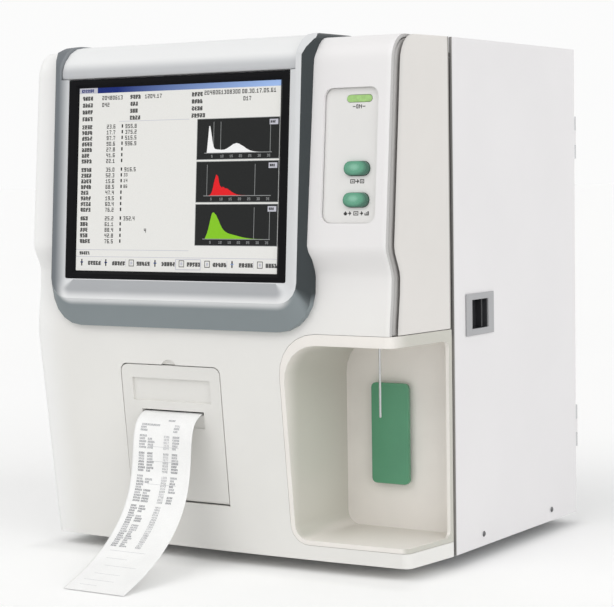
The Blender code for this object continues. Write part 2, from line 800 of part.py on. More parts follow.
def make_rear_panel():
    """Flat sheet inside the cover's back edge, with openings for the fan and the fittings."""
    low = (LEFT + SHEET + GAP, REAR_PANEL_FRONT, UNDER + GAP)
    high = (RIGHT - HINGE_SET_IN - HINGE_RADIUS - 2 * GAP, REAR_PANEL_BACK, ROOF - SHEET - GAP)
    panel = block("rear_panel", low, high, SHELL)
    fan_x = RIGHT - FAN_FROM_RIGHT
    tall = 2 * FAN_RADIUS / GRILLE_SLOTS
    for index in range(GRILLE_SLOTS):
        z = UNDER + FAN_LEVEL - FAN_RADIUS + tall * (index + 0.5)
        half = math.sqrt(max(0.0, FAN_RADIUS ** 2 - (z - UNDER - FAN_LEVEL) ** 2))
        slot = block("grille_slot_%d" % index,
                     (fan_x - half, REAR_PANEL_FRONT - OVERRUN, z - GRILLE_SLOT / 2),
                     (fan_x + half, REAR_PANEL_BACK + OVERRUN, z + GRILLE_SLOT / 2), cutter=True)
        cut(panel, slot)
    openings = {
        "inlet_opening": (RIGHT - INLET_FROM_RIGHT, INLET_LEVEL, INLET_WIDTH, INLET_HEIGHT),
        "rocker_opening": (RIGHT - INLET_FROM_RIGHT, ROCKER_LEVEL, ROCKER_WIDTH, ROCKER_HEIGHT),
        "data_opening": (RIGHT - DATA_FROM_RIGHT, DATA_LEVEL, DATA_WIDTH, DATA_HEIGHT),
    }
    for name, (x, level, width, tall) in openings.items():
        half = (width / 2 + GAP, tall / 2 + GAP)
        cut(panel, block(name, (x - half[0], REAR_PANEL_FRONT - OVERRUN, UNDER + level - half[1]),
                         (x + half[0], REAR_PANEL_BACK + OVERRUN, UNDER + level + half[1]), cutter=True))
    for index in range(PORT_COUNT):
        x = port_x(index)
        cut(panel, rod("port_opening_%d" % index, (x, REAR_PANEL_BACK, UNDER + PORT_LEVEL),
                       PORT_RADIUS + GAP, 4 * SHEET, "y", cutter=True, sides=24))


def port_x(index):
    return RIGHT - PORT_FROM_RIGHT + PORT_PITCH * (index - (PORT_COUNT - 1) / 2)


def make_front_frame():
    """The sheet behind the fascia that carries the fascia, the screen bracket and the probe guide."""
    bay_edge = RIGHT - BAY_LEFT_FROM_RIGHT - FRAME_MARGIN
    bay_top = UNDER + BAY_SEAM_TOP + FRAME_MARGIN
    right = RIGHT - DOOR_SHEET - 3 * GAP - SHEET
    left = LEFT + SHEET + GAP
    top = ROOF - SHEET - GAP
    bottom = TRAY_TOP + GAP
    points = [
        (left, bottom), (bay_edge, bottom), (bay_edge, bay_top), (right, bay_top), (right, top), (left, top),
    ]
    middle = UNDER + SCREEN_BOTTOM + SCREEN_HEIGHT / 2
    centre = RIGHT - SCREEN_CENTRE_FROM_RIGHT
    half_wide = SCREEN_WIDTH * WINDOW_SHARE / 2
    half_tall = SCREEN_HEIGHT * WINDOW_SHARE / 2
    window = round_box(centre - half_wide, centre + half_wide, middle - half_tall, middle + half_tall,
                       [CORNER_RADIUS] * 4, 3)
    sheet_outline("front_frame", points, SHEET, "front", (0.0, FRAME_FRONT + SHEET / 2, 0.0), ZINC,
                  holes=[window])


def skin_reach(x, height):
    """How far the fascia's face stands before the seam at a place across its width."""
    share = min(1.0, abs(x) / (RIGHT - FASCIA_DRAFT - CORNER_RADIUS))
    return front_reach(height) + bow_at(height) * (1 - share * share)


def make_fascia(feet):
    fascia = fascia_solid("front_fascia", 0.0, -GAP, WHITE, cutter=False)
    hollow = fascia_solid("fascia_hollow", FASCIA_WALL, OVERRUN)
    deep = FRONT_SPAN
    top = UNDER + BAY_SEAM_TOP
    upper = block("cheek_space", (RIGHT - GROOVE_EDGE, SEAM - deep, top - GAP),
                  (RIGHT + OVERRUN, SEAM + OVERRUN, ROOF + OVERRUN), cutter=True)
    bay = sheet_outline("bay_space", bay_seam(0.0), 2 * deep, "front", (0.0, SEAM, 0.0), cutter=True)
    screen = screen_window("screen_space", BEZEL_LINING + GAP, 2 * GAP)
    controls = control_window("control_space", GAP)
    door = sheet_outline("door_space", door_outline(DOOR_SEAM), DOOR_CUT_DEPTH, "front",
                         door_pivot(), cutter=True, lean=door_lean())
    cut(fascia, hollow, upper, bay, screen, controls, door)
    low = Vector(door_pivot())
    for side, name in ((-1, "left"), (1, "right")):
        start = low.x + side * DOOR_WIDTH / 2
        edge = start + side * (DOOR_SEAM + GAP)
        far = edge + side * BOSS_WIDTH
        end = start + side * BOSS_WIDTH
        boss = block("hinge_boss_" + name,
                     (min(edge, far), low.y - DOOR_THICKNESS / 4, low.z - BOSS_HALF),
                     (max(edge, far), low.y + BOSS_DEPTH, low.z + BOSS_HALF), cutter=True)
        bore = rod("hinge_bore_" + name, ((start + end) / 2, low.y, low.z), DOOR_PIN + GAP,
                   BOSS_WIDTH, "x", cutter=True, sides=16)
        join(fascia, boss)
        cut(fascia, bore)
    notch_z = low.z + (DOOR_HEIGHT - DOOR_THICKNESS / 2 - NOTCH_DROP) * math.cos(door_lean())
    notch_y = SEAM - skin_reach(low.x, notch_z - UNDER)
    notch = rod("thumb_notch", (RIGHT - NOTCH_FROM_RIGHT, notch_y, notch_z), NOTCH_RADIUS,
                NOTCH_DEPTH * 2, "y", cutter=True, sides=24)
    cut(fascia, notch, *foot_holes("fascia_hole", feet))
    return fascia


def make_cheek():
    """The right side moulding behind the dark groove, with a lip that closes the groove's floor."""
    low = UNDER + BAY_SEAM_TOP + GAP
    edge = RIGHT - GROOVE_EDGE
    floor = FASCIA_WALL + GAP
    cheek = fascia_solid("side_cheek", 0.0, -GAP, WHITE, cutter=False)
    hollow = fascia_solid("cheek_hollow", CHEEK_WALL, OVERRUN)
    lip = fascia_solid("cheek_lip", floor, OVERRUN)
    lip_hollow = fascia_solid("cheek_lip_hollow", floor + CHEEK_LIP, 2 * OVERRUN)
    for thing in (cheek, hollow, lip, lip_hollow):
        thing.location.y += CHEEK_SET_BACK
    within(cheek, block("cheek_bound", (edge + GROOVE_WIDTH, SEAM - FRONT_SPAN, low),
                        (RIGHT + OVERRUN, SEAM - GAP, ROOF + OVERRUN), cutter=True))
    cut(cheek, hollow)
    within(lip, block("lip_bound", (edge - CHEEK_OVERLAP, SEAM - FRONT_SPAN, low),
                      (edge + GROOVE_WIDTH + CHEEK_WALL, SEAM - GAP, ROOF + OVERRUN), cutter=True))
    cut(lip, lip_hollow)
    join(cheek, lip)
    return cheek


def bay_seam(grow):
    """The seam round the sample bay, seen from the front. It runs off the right side."""
    return round_box(RIGHT - BAY_LEFT_FROM_RIGHT - grow, RIGHT + OVERRUN, UNDER + BAY_SEAM_BOTTOM - grow,
                     UNDER + BAY_SEAM_TOP + grow,
                     (0.0, 0.0, BAY_SEAM_TOP_RADIUS + grow, BAY_SEAM_BOTTOM_RADIUS + grow), 6)


def bay_opening(grow, right):
    left = RIGHT - BAY_LEFT_FROM_RIGHT + BAY_RIM - grow
    bottom = UNDER + BAY_SEAM_BOTTOM + BAY_RIM - grow
    top = UNDER + BAY_SEAM_TOP - BAY_HEADER + grow
    return round_box(left, right, bottom, top,
                     (0.0, 0.0, BAY_SEAM_TOP_RADIUS - BAY_RIM + grow, BAY_SEAM_BOTTOM_RADIUS - BAY_RIM + grow), 6)


def make_bay():
    """The moulded sample bay: a rim flush with the fascia, and a tub open to the front and the right."""
    seam_front = SEAM - FRONT_SPAN
    rim = sheet_outline("bay_insert", bay_seam(-GAP), FRONT_SPAN - GAP, "front",
                        (0.0, (seam_front + SEAM - GAP) / 2, 0.0), WHITE)
    within(rim, fascia_solid("bay_outer_face", 0.0, OVERRUN))
    cut(rim, fascia_solid("bay_inner_face", FASCIA_WALL, OVERRUN))
    back = SEAM + BAY_BACK
    liner_back = back + BAY_WALL
    liner_right = RIGHT - DOOR_SHEET - 2 * GAP
    liner_front = SEAM - SILL_REACH
    liner = sheet_outline("bay_liner", bay_opening(BAY_WALL, liner_right), liner_back - liner_front, "front",
                          (0.0, (liner_back + liner_front) / 2, 0.0), cutter=True)
    within(liner, fascia_solid("bay_liner_side", GAP, BAY_BACK + BAY_WALL + OVERRUN))
    far_front = sheet_outline("bay_liner_front", bay_opening(BAY_WALL, RIGHT),
                              FRONT_SPAN, "front", (0.0, seam_front + FRONT_SPAN / 2, 0.0), cutter=True)
    within(far_front, fascia_solid("bay_liner_face", GAP, OVERRUN))
    hollow = sheet_outline("bay_hollow", bay_opening(0.0, RIGHT - BAY_CHEEK), back - seam_front, "front",
                           (0.0, (back + seam_front) / 2, 0.0), cutter=True)
    soften(hollow, BAY_FILLET, 2, math.radians(60))
    side_outline = round_box(seam_front, SEAM - BAY_SIDE_POST, UNDER + BAY_SEAM_BOTTOM + BAY_RIM,
                             UNDER + BAY_SEAM_TOP - BAY_HEADER, (BAY_SIDE_RADIUS, BAY_SIDE_RADIUS, 0.0, 0.0))
    side = sheet_outline("bay_side", side_outline, BAY_CHEEK + BAY_FILLET + OVERRUN, "side",
                         (RIGHT + (OVERRUN - BAY_CHEEK - BAY_FILLET) / 2, 0.0, 0.0), cutter=True)
    join(rim, liner, far_front)
    cut(rim, hollow, side)
    x, y = RIGHT - PROBE_FROM_RIGHT, SEAM - PROBE_REACH
    cut(rim, rod("wash_opening", (x, y, UNDER + BAY_SEAM_TOP), WASH_NECK + GAP, 4 * BAY_HEADER, "z",
                 cutter=True, sides=24))
    key = Vector((RIGHT - ASPIRATE_CENTRE_FROM_RIGHT, back, UNDER + ASPIRATE_HEIGHT))
    cut(rim, rod("key_stem_opening", key, ASPIRATE_STEM + GAP, 4 * BAY_WALL, "y", cutter=True, sides=24))
    return rim


def make_aspirate_key():
    """The long green key on the bay's back wall. Its stem goes through the wall to a switch."""
    back = SEAM + BAY_BACK
    centre = Vector((RIGHT - ASPIRATE_CENTRE_FROM_RIGHT, 0.0, UNDER + ASPIRATE_HEIGHT))
    outline = round_box(-ASPIRATE_WIDTH / 2, ASPIRATE_WIDTH / 2, -ASPIRATE_TALL / 2, ASPIRATE_TALL / 2,
                        [ASPIRATE_CORNER] * 4, 3)
    rear = back - ASPIRATE_TRAVEL - GAP
    key = sheet_outline("aspirate_key", outline, ASPIRATE_THICKNESS, "front",
                        (centre.x, rear - ASPIRATE_THICKNESS / 2, centre.z), GREEN)
    soften(key, ASPIRATE_THICKNESS / 4, 1)
    stem_end = back + BAY_WALL + GAP
    start = rear - ASPIRATE_THICKNESS / 2
    stem = rod("aspirate_stem", (centre.x, (start + stem_end) / 2, centre.z), ASPIRATE_STEM,
               stem_end - start, "y", cutter=True, sides=20)
    join(key, stem)
    body = SWITCH_BODY / 2
    front = back + BAY_WALL + GAP
    switch = block("aspirate_switch", (centre.x - body, front, centre.z - body),
                   (centre.x + body, front + SWITCH_DEPTH, centre.z + body), DARK)
    well = rod("switch_well", (centre.x, front, centre.z), ASPIRATE_STEM + GAP,
               2 * (ASPIRATE_TRAVEL + 2 * GAP), "y", cutter=True, sides=20)
    cut(switch, well)


def screen_pivot():
    """The lower edge of the screen's picture area, at its middle."""
    return (RIGHT - SCREEN_CENTRE_FROM_RIGHT, SEAM - SCREEN_REACH, UNDER + SCREEN_BOTTOM)


def screen_window(name, grow, over):
    """The space of the screen's window, grown at the sides and below, and by its own amount above."""
    x, y, z = screen_pivot()
    half = BEZEL_INNER_HALF + grow
    made = block(name, (x - half, y - FRONT_SPAN, z - BEZEL_INNER_DROP - grow),
                 (x + half, y + FRONT_SPAN, z + SCREEN_HEIGHT + BEZEL_INNER_DROP + over), cutter=True)
    lean_back([made], (x, y, z), -SCREEN_LEAN)
    return made


def bezel_ring(half, drop, radius, rise, depth, steps):
    """One outline of the bezel in the screen's plane, open upward past the roof."""
    x, y, z = screen_pivot()
    points = round_box(-half, half, -drop, rise, (radius, 0.0, 0.0, radius), steps)
    return [(x + u, y - depth, z + v) for u, v in points]


def make_bezel():
    """U-shaped frame: sloping outer sides, a rounded crest and a bevel down to the screen.

    It stands on the fascia, and its lining goes through the fascia's window round the screen's edge.
    """
    top = CABINET_HEIGHT - SCREEN_BOTTOM + BEZEL_TOP_RADIUS
    pivot = screen_pivot()
    bead = BEZEL_BEAD
    rings = [
        bezel_ring(BEZEL_FOOT_HALF, BEZEL_FOOT_DROP, BEZEL_FOOT_RADIUS, top, -FRONT_SPAN / 2, 5),
        bezel_ring(BEZEL_FOOT_HALF, BEZEL_FOOT_DROP, BEZEL_FOOT_RADIUS, top, -BEZEL_BURY, 5),
        bezel_ring(BEZEL_CREST_HALF, BEZEL_CREST_DROP, BEZEL_CREST_RADIUS, top, BEZEL_RISE - bead, 5),
        bezel_ring(BEZEL_CREST_HALF - bead, BEZEL_CREST_DROP - bead, BEZEL_CREST_RADIUS - bead, top,
                   BEZEL_RISE, 5),
    ]
    bezel = loft("screen_bezel", rings, SLATE)
    inner = [
        bezel_ring(BEZEL_INNER_HALF, BEZEL_INNER_DROP, BEZEL_INNER_RADIUS, top + OVERRUN, -FRONT_SPAN, 3),
        bezel_ring(BEZEL_INNER_HALF, BEZEL_INNER_DROP, BEZEL_INNER_RADIUS, top + OVERRUN, 0.0, 3),
        bezel_ring(BEZEL_INNER_CREST_HALF, BEZEL_INNER_CREST_DROP, BEZEL_INNER_CREST_RADIUS, top + OVERRUN,
                   BEZEL_RISE, 3),
        bezel_ring(BEZEL_INNER_CREST_HALF, BEZEL_INNER_CREST_DROP, BEZEL_INNER_CREST_RADIUS, top + OVERRUN,
                   2 * BEZEL_RISE, 3),
    ]
    opening = loft("bezel_opening", inner, cutter=True)
    lean_back([bezel, opening], pivot, -SCREEN_LEAN)
    cap_low = UNDER + SCREEN_BOTTOM + SCREEN_HEIGHT + BEZEL_INNER_DROP
    channel = block("cap_channel", (pivot[0] - BEZEL_INNER_CREST_HALF, SEAM - FRONT_SPAN, cap_low),
                    (pivot[0] + BEZEL_INNER_CREST_HALF, SEAM + OVERRUN, ROOF + FRONT_SPAN), cutter=True)
    low = pivot[2] - BEZEL_FOOT_DROP - OVERRUN
    bound = sheet_outline("bezel_bound", crown_outline(BEZEL_TOP_RISE, BEZEL_RISE + OVERRUN, low),
                          4 * BEZEL_FOOT_HALF, "side", (pivot[0], 0.0, 0.0), cutter=True)
    horns = round_box(pivot[0] - BEZEL_FOOT_HALF, pivot[0] + BEZEL_FOOT_HALF, low, ROOF + BEZEL_TOP_RISE,
                      (0.0, BEZEL_HORN_RADIUS, BEZEL_HORN_RADIUS, 0.0))
    within(bezel, bound)
    within(bezel, sheet_outline("bezel_horns", horns, 2 * FRONT_SPAN, "front", (0.0, SEAM, 0.0), cutter=True))
    seat = fascia_solid("bezel_seat", -GAP, OVERRUN)
    cut(seat, screen_window("lining_space", BEZEL_LINING, GAP))
    x, y, z = pivot
    behind = block("bezel_behind", (x - BEZEL_FOOT_HALF, y + SCREEN_THICKNESS, z - BEZEL_FOOT_DROP),
                   (x + BEZEL_FOOT_HALF, y + FRONT_SPAN, z + SCREEN_HEIGHT + FRONT_SPAN), cutter=True)
    lean_back([behind], pivot, -SCREEN_LEAN)
    within(behind, screen_window("lining_reach", BEZEL_LINING + GAP, GAP))
    cut(bezel, opening, channel, seat, behind)
    return bezel


def crown_front(rise, proud, level):
    """Where the crown's face stands at one level: on the screen's lean, then bending back to the roof."""
    x, y, z = screen_pivot()
    bend = ROOF + rise - BEZEL_TOP_RADIUS
    straight = y - proud + math.tan(SCREEN_LEAN) * (min(level, bend) - z)
    up = min(1.0, max(0.0, level - bend) / BEZEL_TOP_RADIUS)
    return straight + BEZEL_TOP_RADIUS * (1 - math.sqrt(1 - up * up))


def crown_outline(rise, proud, low, tuck=0.0):
    """Side outline of what stands before the fascia. A tuck rolls the lower edge inward."""
    back = SEAM - BEZEL_BACK_REACH
    points = [(back, low)]
    for angle in (0, 22, 45, 67, 90) if tuck else (0,):
        turn = math.radians(angle)
        level = low + CAP_ROLL * (1 - math.cos(turn))
        points.append((crown_front(rise, proud, level) + tuck * (1 - math.sin(turn)), level))
    bend = ROOF + rise - BEZEL_TOP_RADIUS
    for angle in (0, 18, 36, 54, 72, 90):
        level = bend + BEZEL_TOP_RADIUS * math.sin(math.radians(angle))
        if level > points[-1][1]:
            points.append((crown_front(rise, proud, level), level))
    points.append((back, ROOF + rise))
    return points


def make_cap():
    """The light panel between the bezel's legs, over the screen and back over the roof's front."""
    x, y, z = screen_pivot()
    low = z + SCREEN_HEIGHT + BEZEL_INNER_DROP + GAP
    outer = crown_outline(CAP_RISE, CAP_PROUD, low, CAP_TUCK)
    width = 2 * (BEZEL_INNER_CREST_HALF - GAP)
    cap = sheet_outline("bezel_cap", outer, width, "side", (x, 0.0, 0.0), SILVER)
    cut(cap, fascia_solid("cap_seat", -GAP, OVERRUN))
    return cap


def make_screen():
    """The display module, its front in the window of the bezel, and the bracket that holds its back."""
    x, y, z = screen_pivot()
    half = BEZEL_INNER_HALF - GAP
    tall = BEZEL_INNER_DROP - GAP
    corners = (BEZEL_INNER_RADIUS, 0.0, 0.0, BEZEL_INNER_RADIUS)
    face = round_box(-half, half, -tall, SCREEN_HEIGHT + tall, corners, 3)
    module = sheet_outline("lcd_panel", face, SCREEN_THICKNESS, "front", (x, y + SCREEN_THICKNESS / 2, z), GLASS)
    page_half = SCREEN_WIDTH / 2 - MASK_SIDE
    recess = []
    for grow, depth in ((2 * MASK_SLOPE, -MASK_DEPTH), (0.0, MASK_DEPTH)):
        outline = round_box(x - page_half - grow, x + page_half + grow, z + MASK_END - grow,
                            z + SCREEN_HEIGHT - MASK_END + grow, [0.0] * 4)
        recess.append([(across, y + depth, level) for across, level in outline])
    page = loft("screen_recess", recess, cutter=True)
    back = y + SCREEN_THICKNESS + GAP
    plate = block("screen_bracket", (x - half, back, z - tall),
                  (x + half, back + SCREEN_BRACKET, z + SCREEN_HEIGHT + tall), ZINC)
    window_low = z + SCREEN_HEIGHT * (1 - WINDOW_SHARE) / 2
    window_high = z + SCREEN_HEIGHT * (1 + WINDOW_SHARE) / 2
    window = block("bracket_window", (x - half * WINDOW_SHARE, back - OVERRUN, window_low),
                   (x + half * WINDOW_SHARE, back + SCREEN_BRACKET + OVERRUN, window_high), cutter=True)
    lean_back([module, page, plate, window], (x, y, z), -SCREEN_LEAN)
    cut(module, page)
    cut(plate, window)
    arm = BRACKET_ARM / 2
    for index, (side, share) in enumerate((side, share) for share in ARM_LEVEL_SHARES for side in (-1, 1)):
        arm_x = x + side * half * BRACKET_ARM_SHARE
        arm_z = z + SCREEN_HEIGHT * share
        start = y + SCREEN_THICKNESS + SCREEN_BRACKET / 2 + math.tan(SCREEN_LEAN) * (arm_z - z)
        post = block("bracket_arm_%d" % index, (arm_x - arm, start, arm_z - arm),
                     (arm_x + arm, FRAME_FRONT - GAP, arm_z + arm), cutter=True)
        join(plate, post)


def control_pivot():
    """The middle of the control plate on the column's leaning face."""
    middle = CONTROL_BOTTOM + CONTROL_HEIGHT / 2
    return (RIGHT - CONTROL_CENTRE_FROM_RIGHT, SEAM - front_reach(middle), UNDER + middle)


def control_window(name, grow):
    x, y, z = control_pivot()
    outline = round_box(-CONTROL_WIDTH / 2 - grow, CONTROL_WIDTH / 2 + grow, -CONTROL_HEIGHT / 2 - grow,
                        CONTROL_HEIGHT / 2 + grow, [CONTROL_CORNER] * 4, 4)
    return sheet_outline(name, outline, 4 * FASCIA_WALL, "front", (x, y, z), cutter=True, lean=-COLUMN_LEAN)


def capsule(width, height, grow=0.0):
    return round_box(-width / 2 - grow, width / 2 + grow, -height / 2 - grow, height / 2 + grow,
                     [height / 2 * CAPSULE_SHARE + grow] * 4, 4)


def on_column(height):
    """A place on the column's face, at the keys' own distance from the right side."""
    return Vector((RIGHT - KEY_CENTRE_FROM_RIGHT, SEAM - front_reach(height), UNDER + height))


def column_inward():
    return Vector((0.0, math.cos(COLUMN_LEAN), -math.sin(COLUMN_LEAN)))


def column_piece(name, outline, place, thickness, paint=None, cutter=False):
    """An outline on the column's lean. The place is the middle of its thickness."""
    return sheet_outline(name, outline, thickness, "front", place, paint, cutter, lean=-COLUMN_LEAN)


def make_controls():
    """Sunken plate in the column with a lamp and two sprung buttons, and the board behind them."""
    pivot = Vector(control_pivot())
    inward = column_inward()
    plate_outline = round_box(-CONTROL_WIDTH / 2, CONTROL_WIDTH / 2, -CONTROL_HEIGHT / 2, CONTROL_HEIGHT / 2,
                              [CONTROL_CORNER] * 4, 4)
    plate = column_piece("control_plate", plate_outline, pivot + inward * (CONTROL_DEPTH + CONTROL_PLATE / 2),
                         CONTROL_PLATE, WHITE)
    flange_outline = round_box(-CONTROL_WIDTH / 2 - CONTROL_FLANGE, CONTROL_WIDTH / 2 + CONTROL_FLANGE,
                               -CONTROL_HEIGHT / 2 - CONTROL_FLANGE, CONTROL_HEIGHT / 2 + CONTROL_FLANGE,
                               [CONTROL_CORNER] * 4, 4)
    flange = column_piece("control_flange", flange_outline,
                          pivot + inward * (CONTROL_DEPTH + CONTROL_PLATE / 2 + GAP), CONTROL_PLATE,
                          cutter=True)
    join(plate, flange)
    board_depth = CONTROL_DEPTH + CONTROL_PLATE + KEY_BOARD_STANDOFF
    board = column_piece("key_board", plate_outline, pivot + inward * (board_depth + KEY_BOARD / 2),
                         KEY_BOARD, BOARD)
    post_long = KEY_BOARD_STANDOFF - GAP
    for index, (side, end) in enumerate(((-1, -1), (1, -1), (-1, 1), (1, 1))):
        across = Vector((side * (CONTROL_WIDTH / 2 - CONTROL_CORNER), 0.0, 0.0))
        along = Vector((0.0, math.sin(COLUMN_LEAN), math.cos(COLUMN_LEAN))) * end
        along *= CONTROL_HEIGHT / 2 - 2 * CONTROL_CORNER
        spot = pivot + across + along + inward * (CONTROL_DEPTH + CONTROL_PLATE + post_long / 2)
        post = rod("plate_post_%d" % index, spot, BUTTON_STEM, post_long, "y", cutter=True, sides=12)
        post.rotation_euler = (math.pi / 2 - COLUMN_LEAN, 0.0, 0.0)
        join(plate, post)
    for name, height in (("print_button", PRINT_BUTTON_HEIGHT), ("run_button", RUN_BUTTON_HEIGHT)):
        face = on_column(height) + inward * CONTROL_DEPTH
        hole = column_piece(name + "_opening", capsule(BUTTON_WIDTH, BUTTON_HEIGHT, GAP), face,
                            8 * CONTROL_PLATE, cutter=True)
        cut(plate, hole)
        skirt = CONTROL_PLATE + BUTTON_PROUD
        button = column_piece(name, capsule(BUTTON_WIDTH, BUTTON_HEIGHT),
                              face + inward * (skirt / 2 - BUTTON_PROUD), skirt, GREEN)
        soften(button, BUTTON_PROUD * BUTTON_ROUND_SHARE, 3)
        stem_long = KEY_BOARD_STANDOFF - BUTTON_TRAVEL - GAP + CONTROL_PLATE / 2
        stem = rod(name + "_stem", face + inward * (CONTROL_PLATE / 2 + stem_long / 2), BUTTON_STEM,
                   stem_long, "y", cutter=True, sides=12)
        stem.rotation_euler = (math.pi / 2 - COLUMN_LEAN, 0.0, 0.0)
        join(button, stem)
    lamp_face = on_column(LAMP_HEIGHT) + inward * CONTROL_DEPTH
    lamp_hole = column_piece("lamp_opening", capsule(LAMP_WIDTH, LAMP_TALL, GAP), lamp_face,
                             8 * CONTROL_PLATE, cutter=True)
    cut(plate, lamp_hole)
    lamp_deep = CONTROL_PLATE + KEY_BOARD_STANDOFF - GAP
    column_piece("lamp_lens", capsule(LAMP_WIDTH, LAMP_TALL), lamp_face + inward * (lamp_deep / 2 - GAP),
                 lamp_deep, LAMP)


def door_lean():
    """The printer door leans as the fascia does between its lower and upper edges."""
    x = RIGHT - DOOR_CENTRE_FROM_RIGHT
    rise = skin_reach(x, DOOR_BOTTOM + DOOR_HEIGHT) - skin_reach(x, DOOR_BOTTOM)
    return math.atan(rise / DOOR_HEIGHT)


def door_pivot():
    """The printer door's hinge line: in the middle of the door's thickness, at its rounded lower edge."""
    x = RIGHT - DOOR_CENTRE_FROM_RIGHT
    height = DOOR_BOTTOM + DOOR_THICKNESS / 2
    return (x, SEAM - skin_reach(x, height) + DOOR_THICKNESS / 2, UNDER + height)


def door_outline(grow):
    """The door's outline about its hinge line."""
    low = -DOOR_THICKNESS / 2
    return round_box(-DOOR_WIDTH / 2 - grow, DOOR_WIDTH / 2 + grow, low - grow, low + DOOR_HEIGHT + grow,
                     (0.0, DOOR_CORNER, DOOR_CORNER, 0.0), 4)


def door_block(name, low, high, paint=None, cutter=True):
    """A block in the door's upright frame, where zero is the hinge line, set on the door's lean."""
    pivot = Vector(door_pivot())
    made = block(name, pivot + Vector(low), pivot + Vector(high), paint, cutter)
    lean_back([made], pivot, door_lean())
    return made


def door_rod(name, across, depth, height, radius, length, paint=None, cutter=True, sides=24):
    pivot = Vector(door_pivot())
    made = rod(name, pivot + Vector((across, depth, height)), radius, length, "x", paint, cutter, sides)
    lean_back([made], pivot, door_lean())
    return made


def platen_place():
    """The platen's axis about the hinge line: depth and height."""
    slot = DOOR_HEIGHT - SLOT_FROM_TOP - DOOR_THICKNESS / 2
    return PLATEN_BEHIND - DOOR_THICKNESS / 2, slot - PLATEN_BELOW_SLOT


def make_printer_door():
    pivot = door_pivot()
    door = sheet_outline("printer_door", door_outline(0.0), DOOR_THICKNESS, "front", pivot, WHITE,
                         lean=door_lean())
    face = -DOOR_THICKNESS / 2
    lower = rod("door_round", pivot, DOOR_THICKNESS / 2, DOOR_WIDTH, "x", cutter=True, sides=16)
    trim = door_block("door_trim", (-DOOR_WIDTH, -DOOR_THICKNESS, -DOOR_THICKNESS),
                      (DOOR_WIDTH, DOOR_THICKNESS, 0.0))
    cut(door, trim)
    pins = rod("door_pins", pivot, DOOR_PIN, DOOR_WIDTH + 2 * (BOSS_WIDTH - GAP), "x", cutter=True, sides=12)
    join(door, lower, pins)
    top = DOOR_HEIGHT - DOOR_THICKNESS / 2
    panel_top = top - PANEL_FROM_TOP
    cut(door, door_block("door_panel", (-PANEL_WIDTH / 2, face - OVERRUN, panel_top - PANEL_HEIGHT),
                         (PANEL_WIDTH / 2, face + PANEL_DEPTH, panel_top)))
    slot = top - SLOT_FROM_TOP
    cut(door, door_block("paper_slot", (-SLOT_WIDTH / 2, face - OVERRUN, slot - SLOT_HEIGHT / 2),
                         (SLOT_WIDTH / 2, -face + OVERRUN, slot + SLOT_HEIGHT / 2)))
    cut(door, door_block("paper_ramp", (-SLOT_WIDTH / 2, face - OVERRUN, slot - RAMP_HEIGHT),
                         (SLOT_WIDTH / 2, face + RAMP_DEPTH, slot - SLOT_HEIGHT / 4)))
    depth, height = platen_place()
    inner = PAPER_WIDTH / 2 + EAR_CLEARANCE
    for side, name in ((-1, "left"), (1, "right")):
        near = side * inner
        far = side * (inner + EAR_THICKNESS)
        ear = door_block("door_ear_" + name, (min(near, far), -DOOR_THICKNESS / 4, height - EAR_HALF),
                         (max(near, far), depth + EAR_HALF, height + EAR_HALF))
        join(door, ear)
    cut(door, door_rod("platen_bore", 0.0, depth, height, PLATEN_SHAFT + GAP, DOOR_WIDTH, sides=20))
    shaft = 2 * (inner + EAR_THICKNESS)
    platen = door_rod("platen_roller", 0.0, depth, height, PLATEN_RADIUS, PAPER_WIDTH + EAR_CLEARANCE,
                      RUBBER, cutter=False, sides=24)
    join(platen, door_rod("platen_shaft", 0.0, depth, height, PLATEN_SHAFT, shaft - 2 * GAP, sides=16))
    door_gear("platen_gear", shaft / 2 + GAP, depth, height)
    on_axis("printer_door_hinge", pivot, door)


def door_gear(name, start, depth, height):
    """A small gear on the platen's end, outside the ear, on the shaft's stub."""
    pivot = Vector(door_pivot())
    points = []
    for index in range(GEAR_TEETH * 4):
        angle = 2 * math.pi * index / (GEAR_TEETH * 4)
        radius = GEAR_RADIUS if index % 4 < 2 else GEAR_RADIUS - GEAR_TOOTH
        points.append((radius * math.cos(angle), radius * math.sin(angle)))
    place = pivot + Vector((start + GEAR_WIDTH / 2, depth, height))
    gear = sheet_outline(name, points, GEAR_WIDTH, "side", place, DARK)
    lean_back([gear], pivot, door_lean())


def roll_place():
    """The paper roll's axis: behind the door, in the tub."""
    x, y, z = door_pivot()
    return Vector((x, SEAM - skin_reach(x, ROLL_HEIGHT) + ROLL_BACK, UNDER + ROLL_HEIGHT))


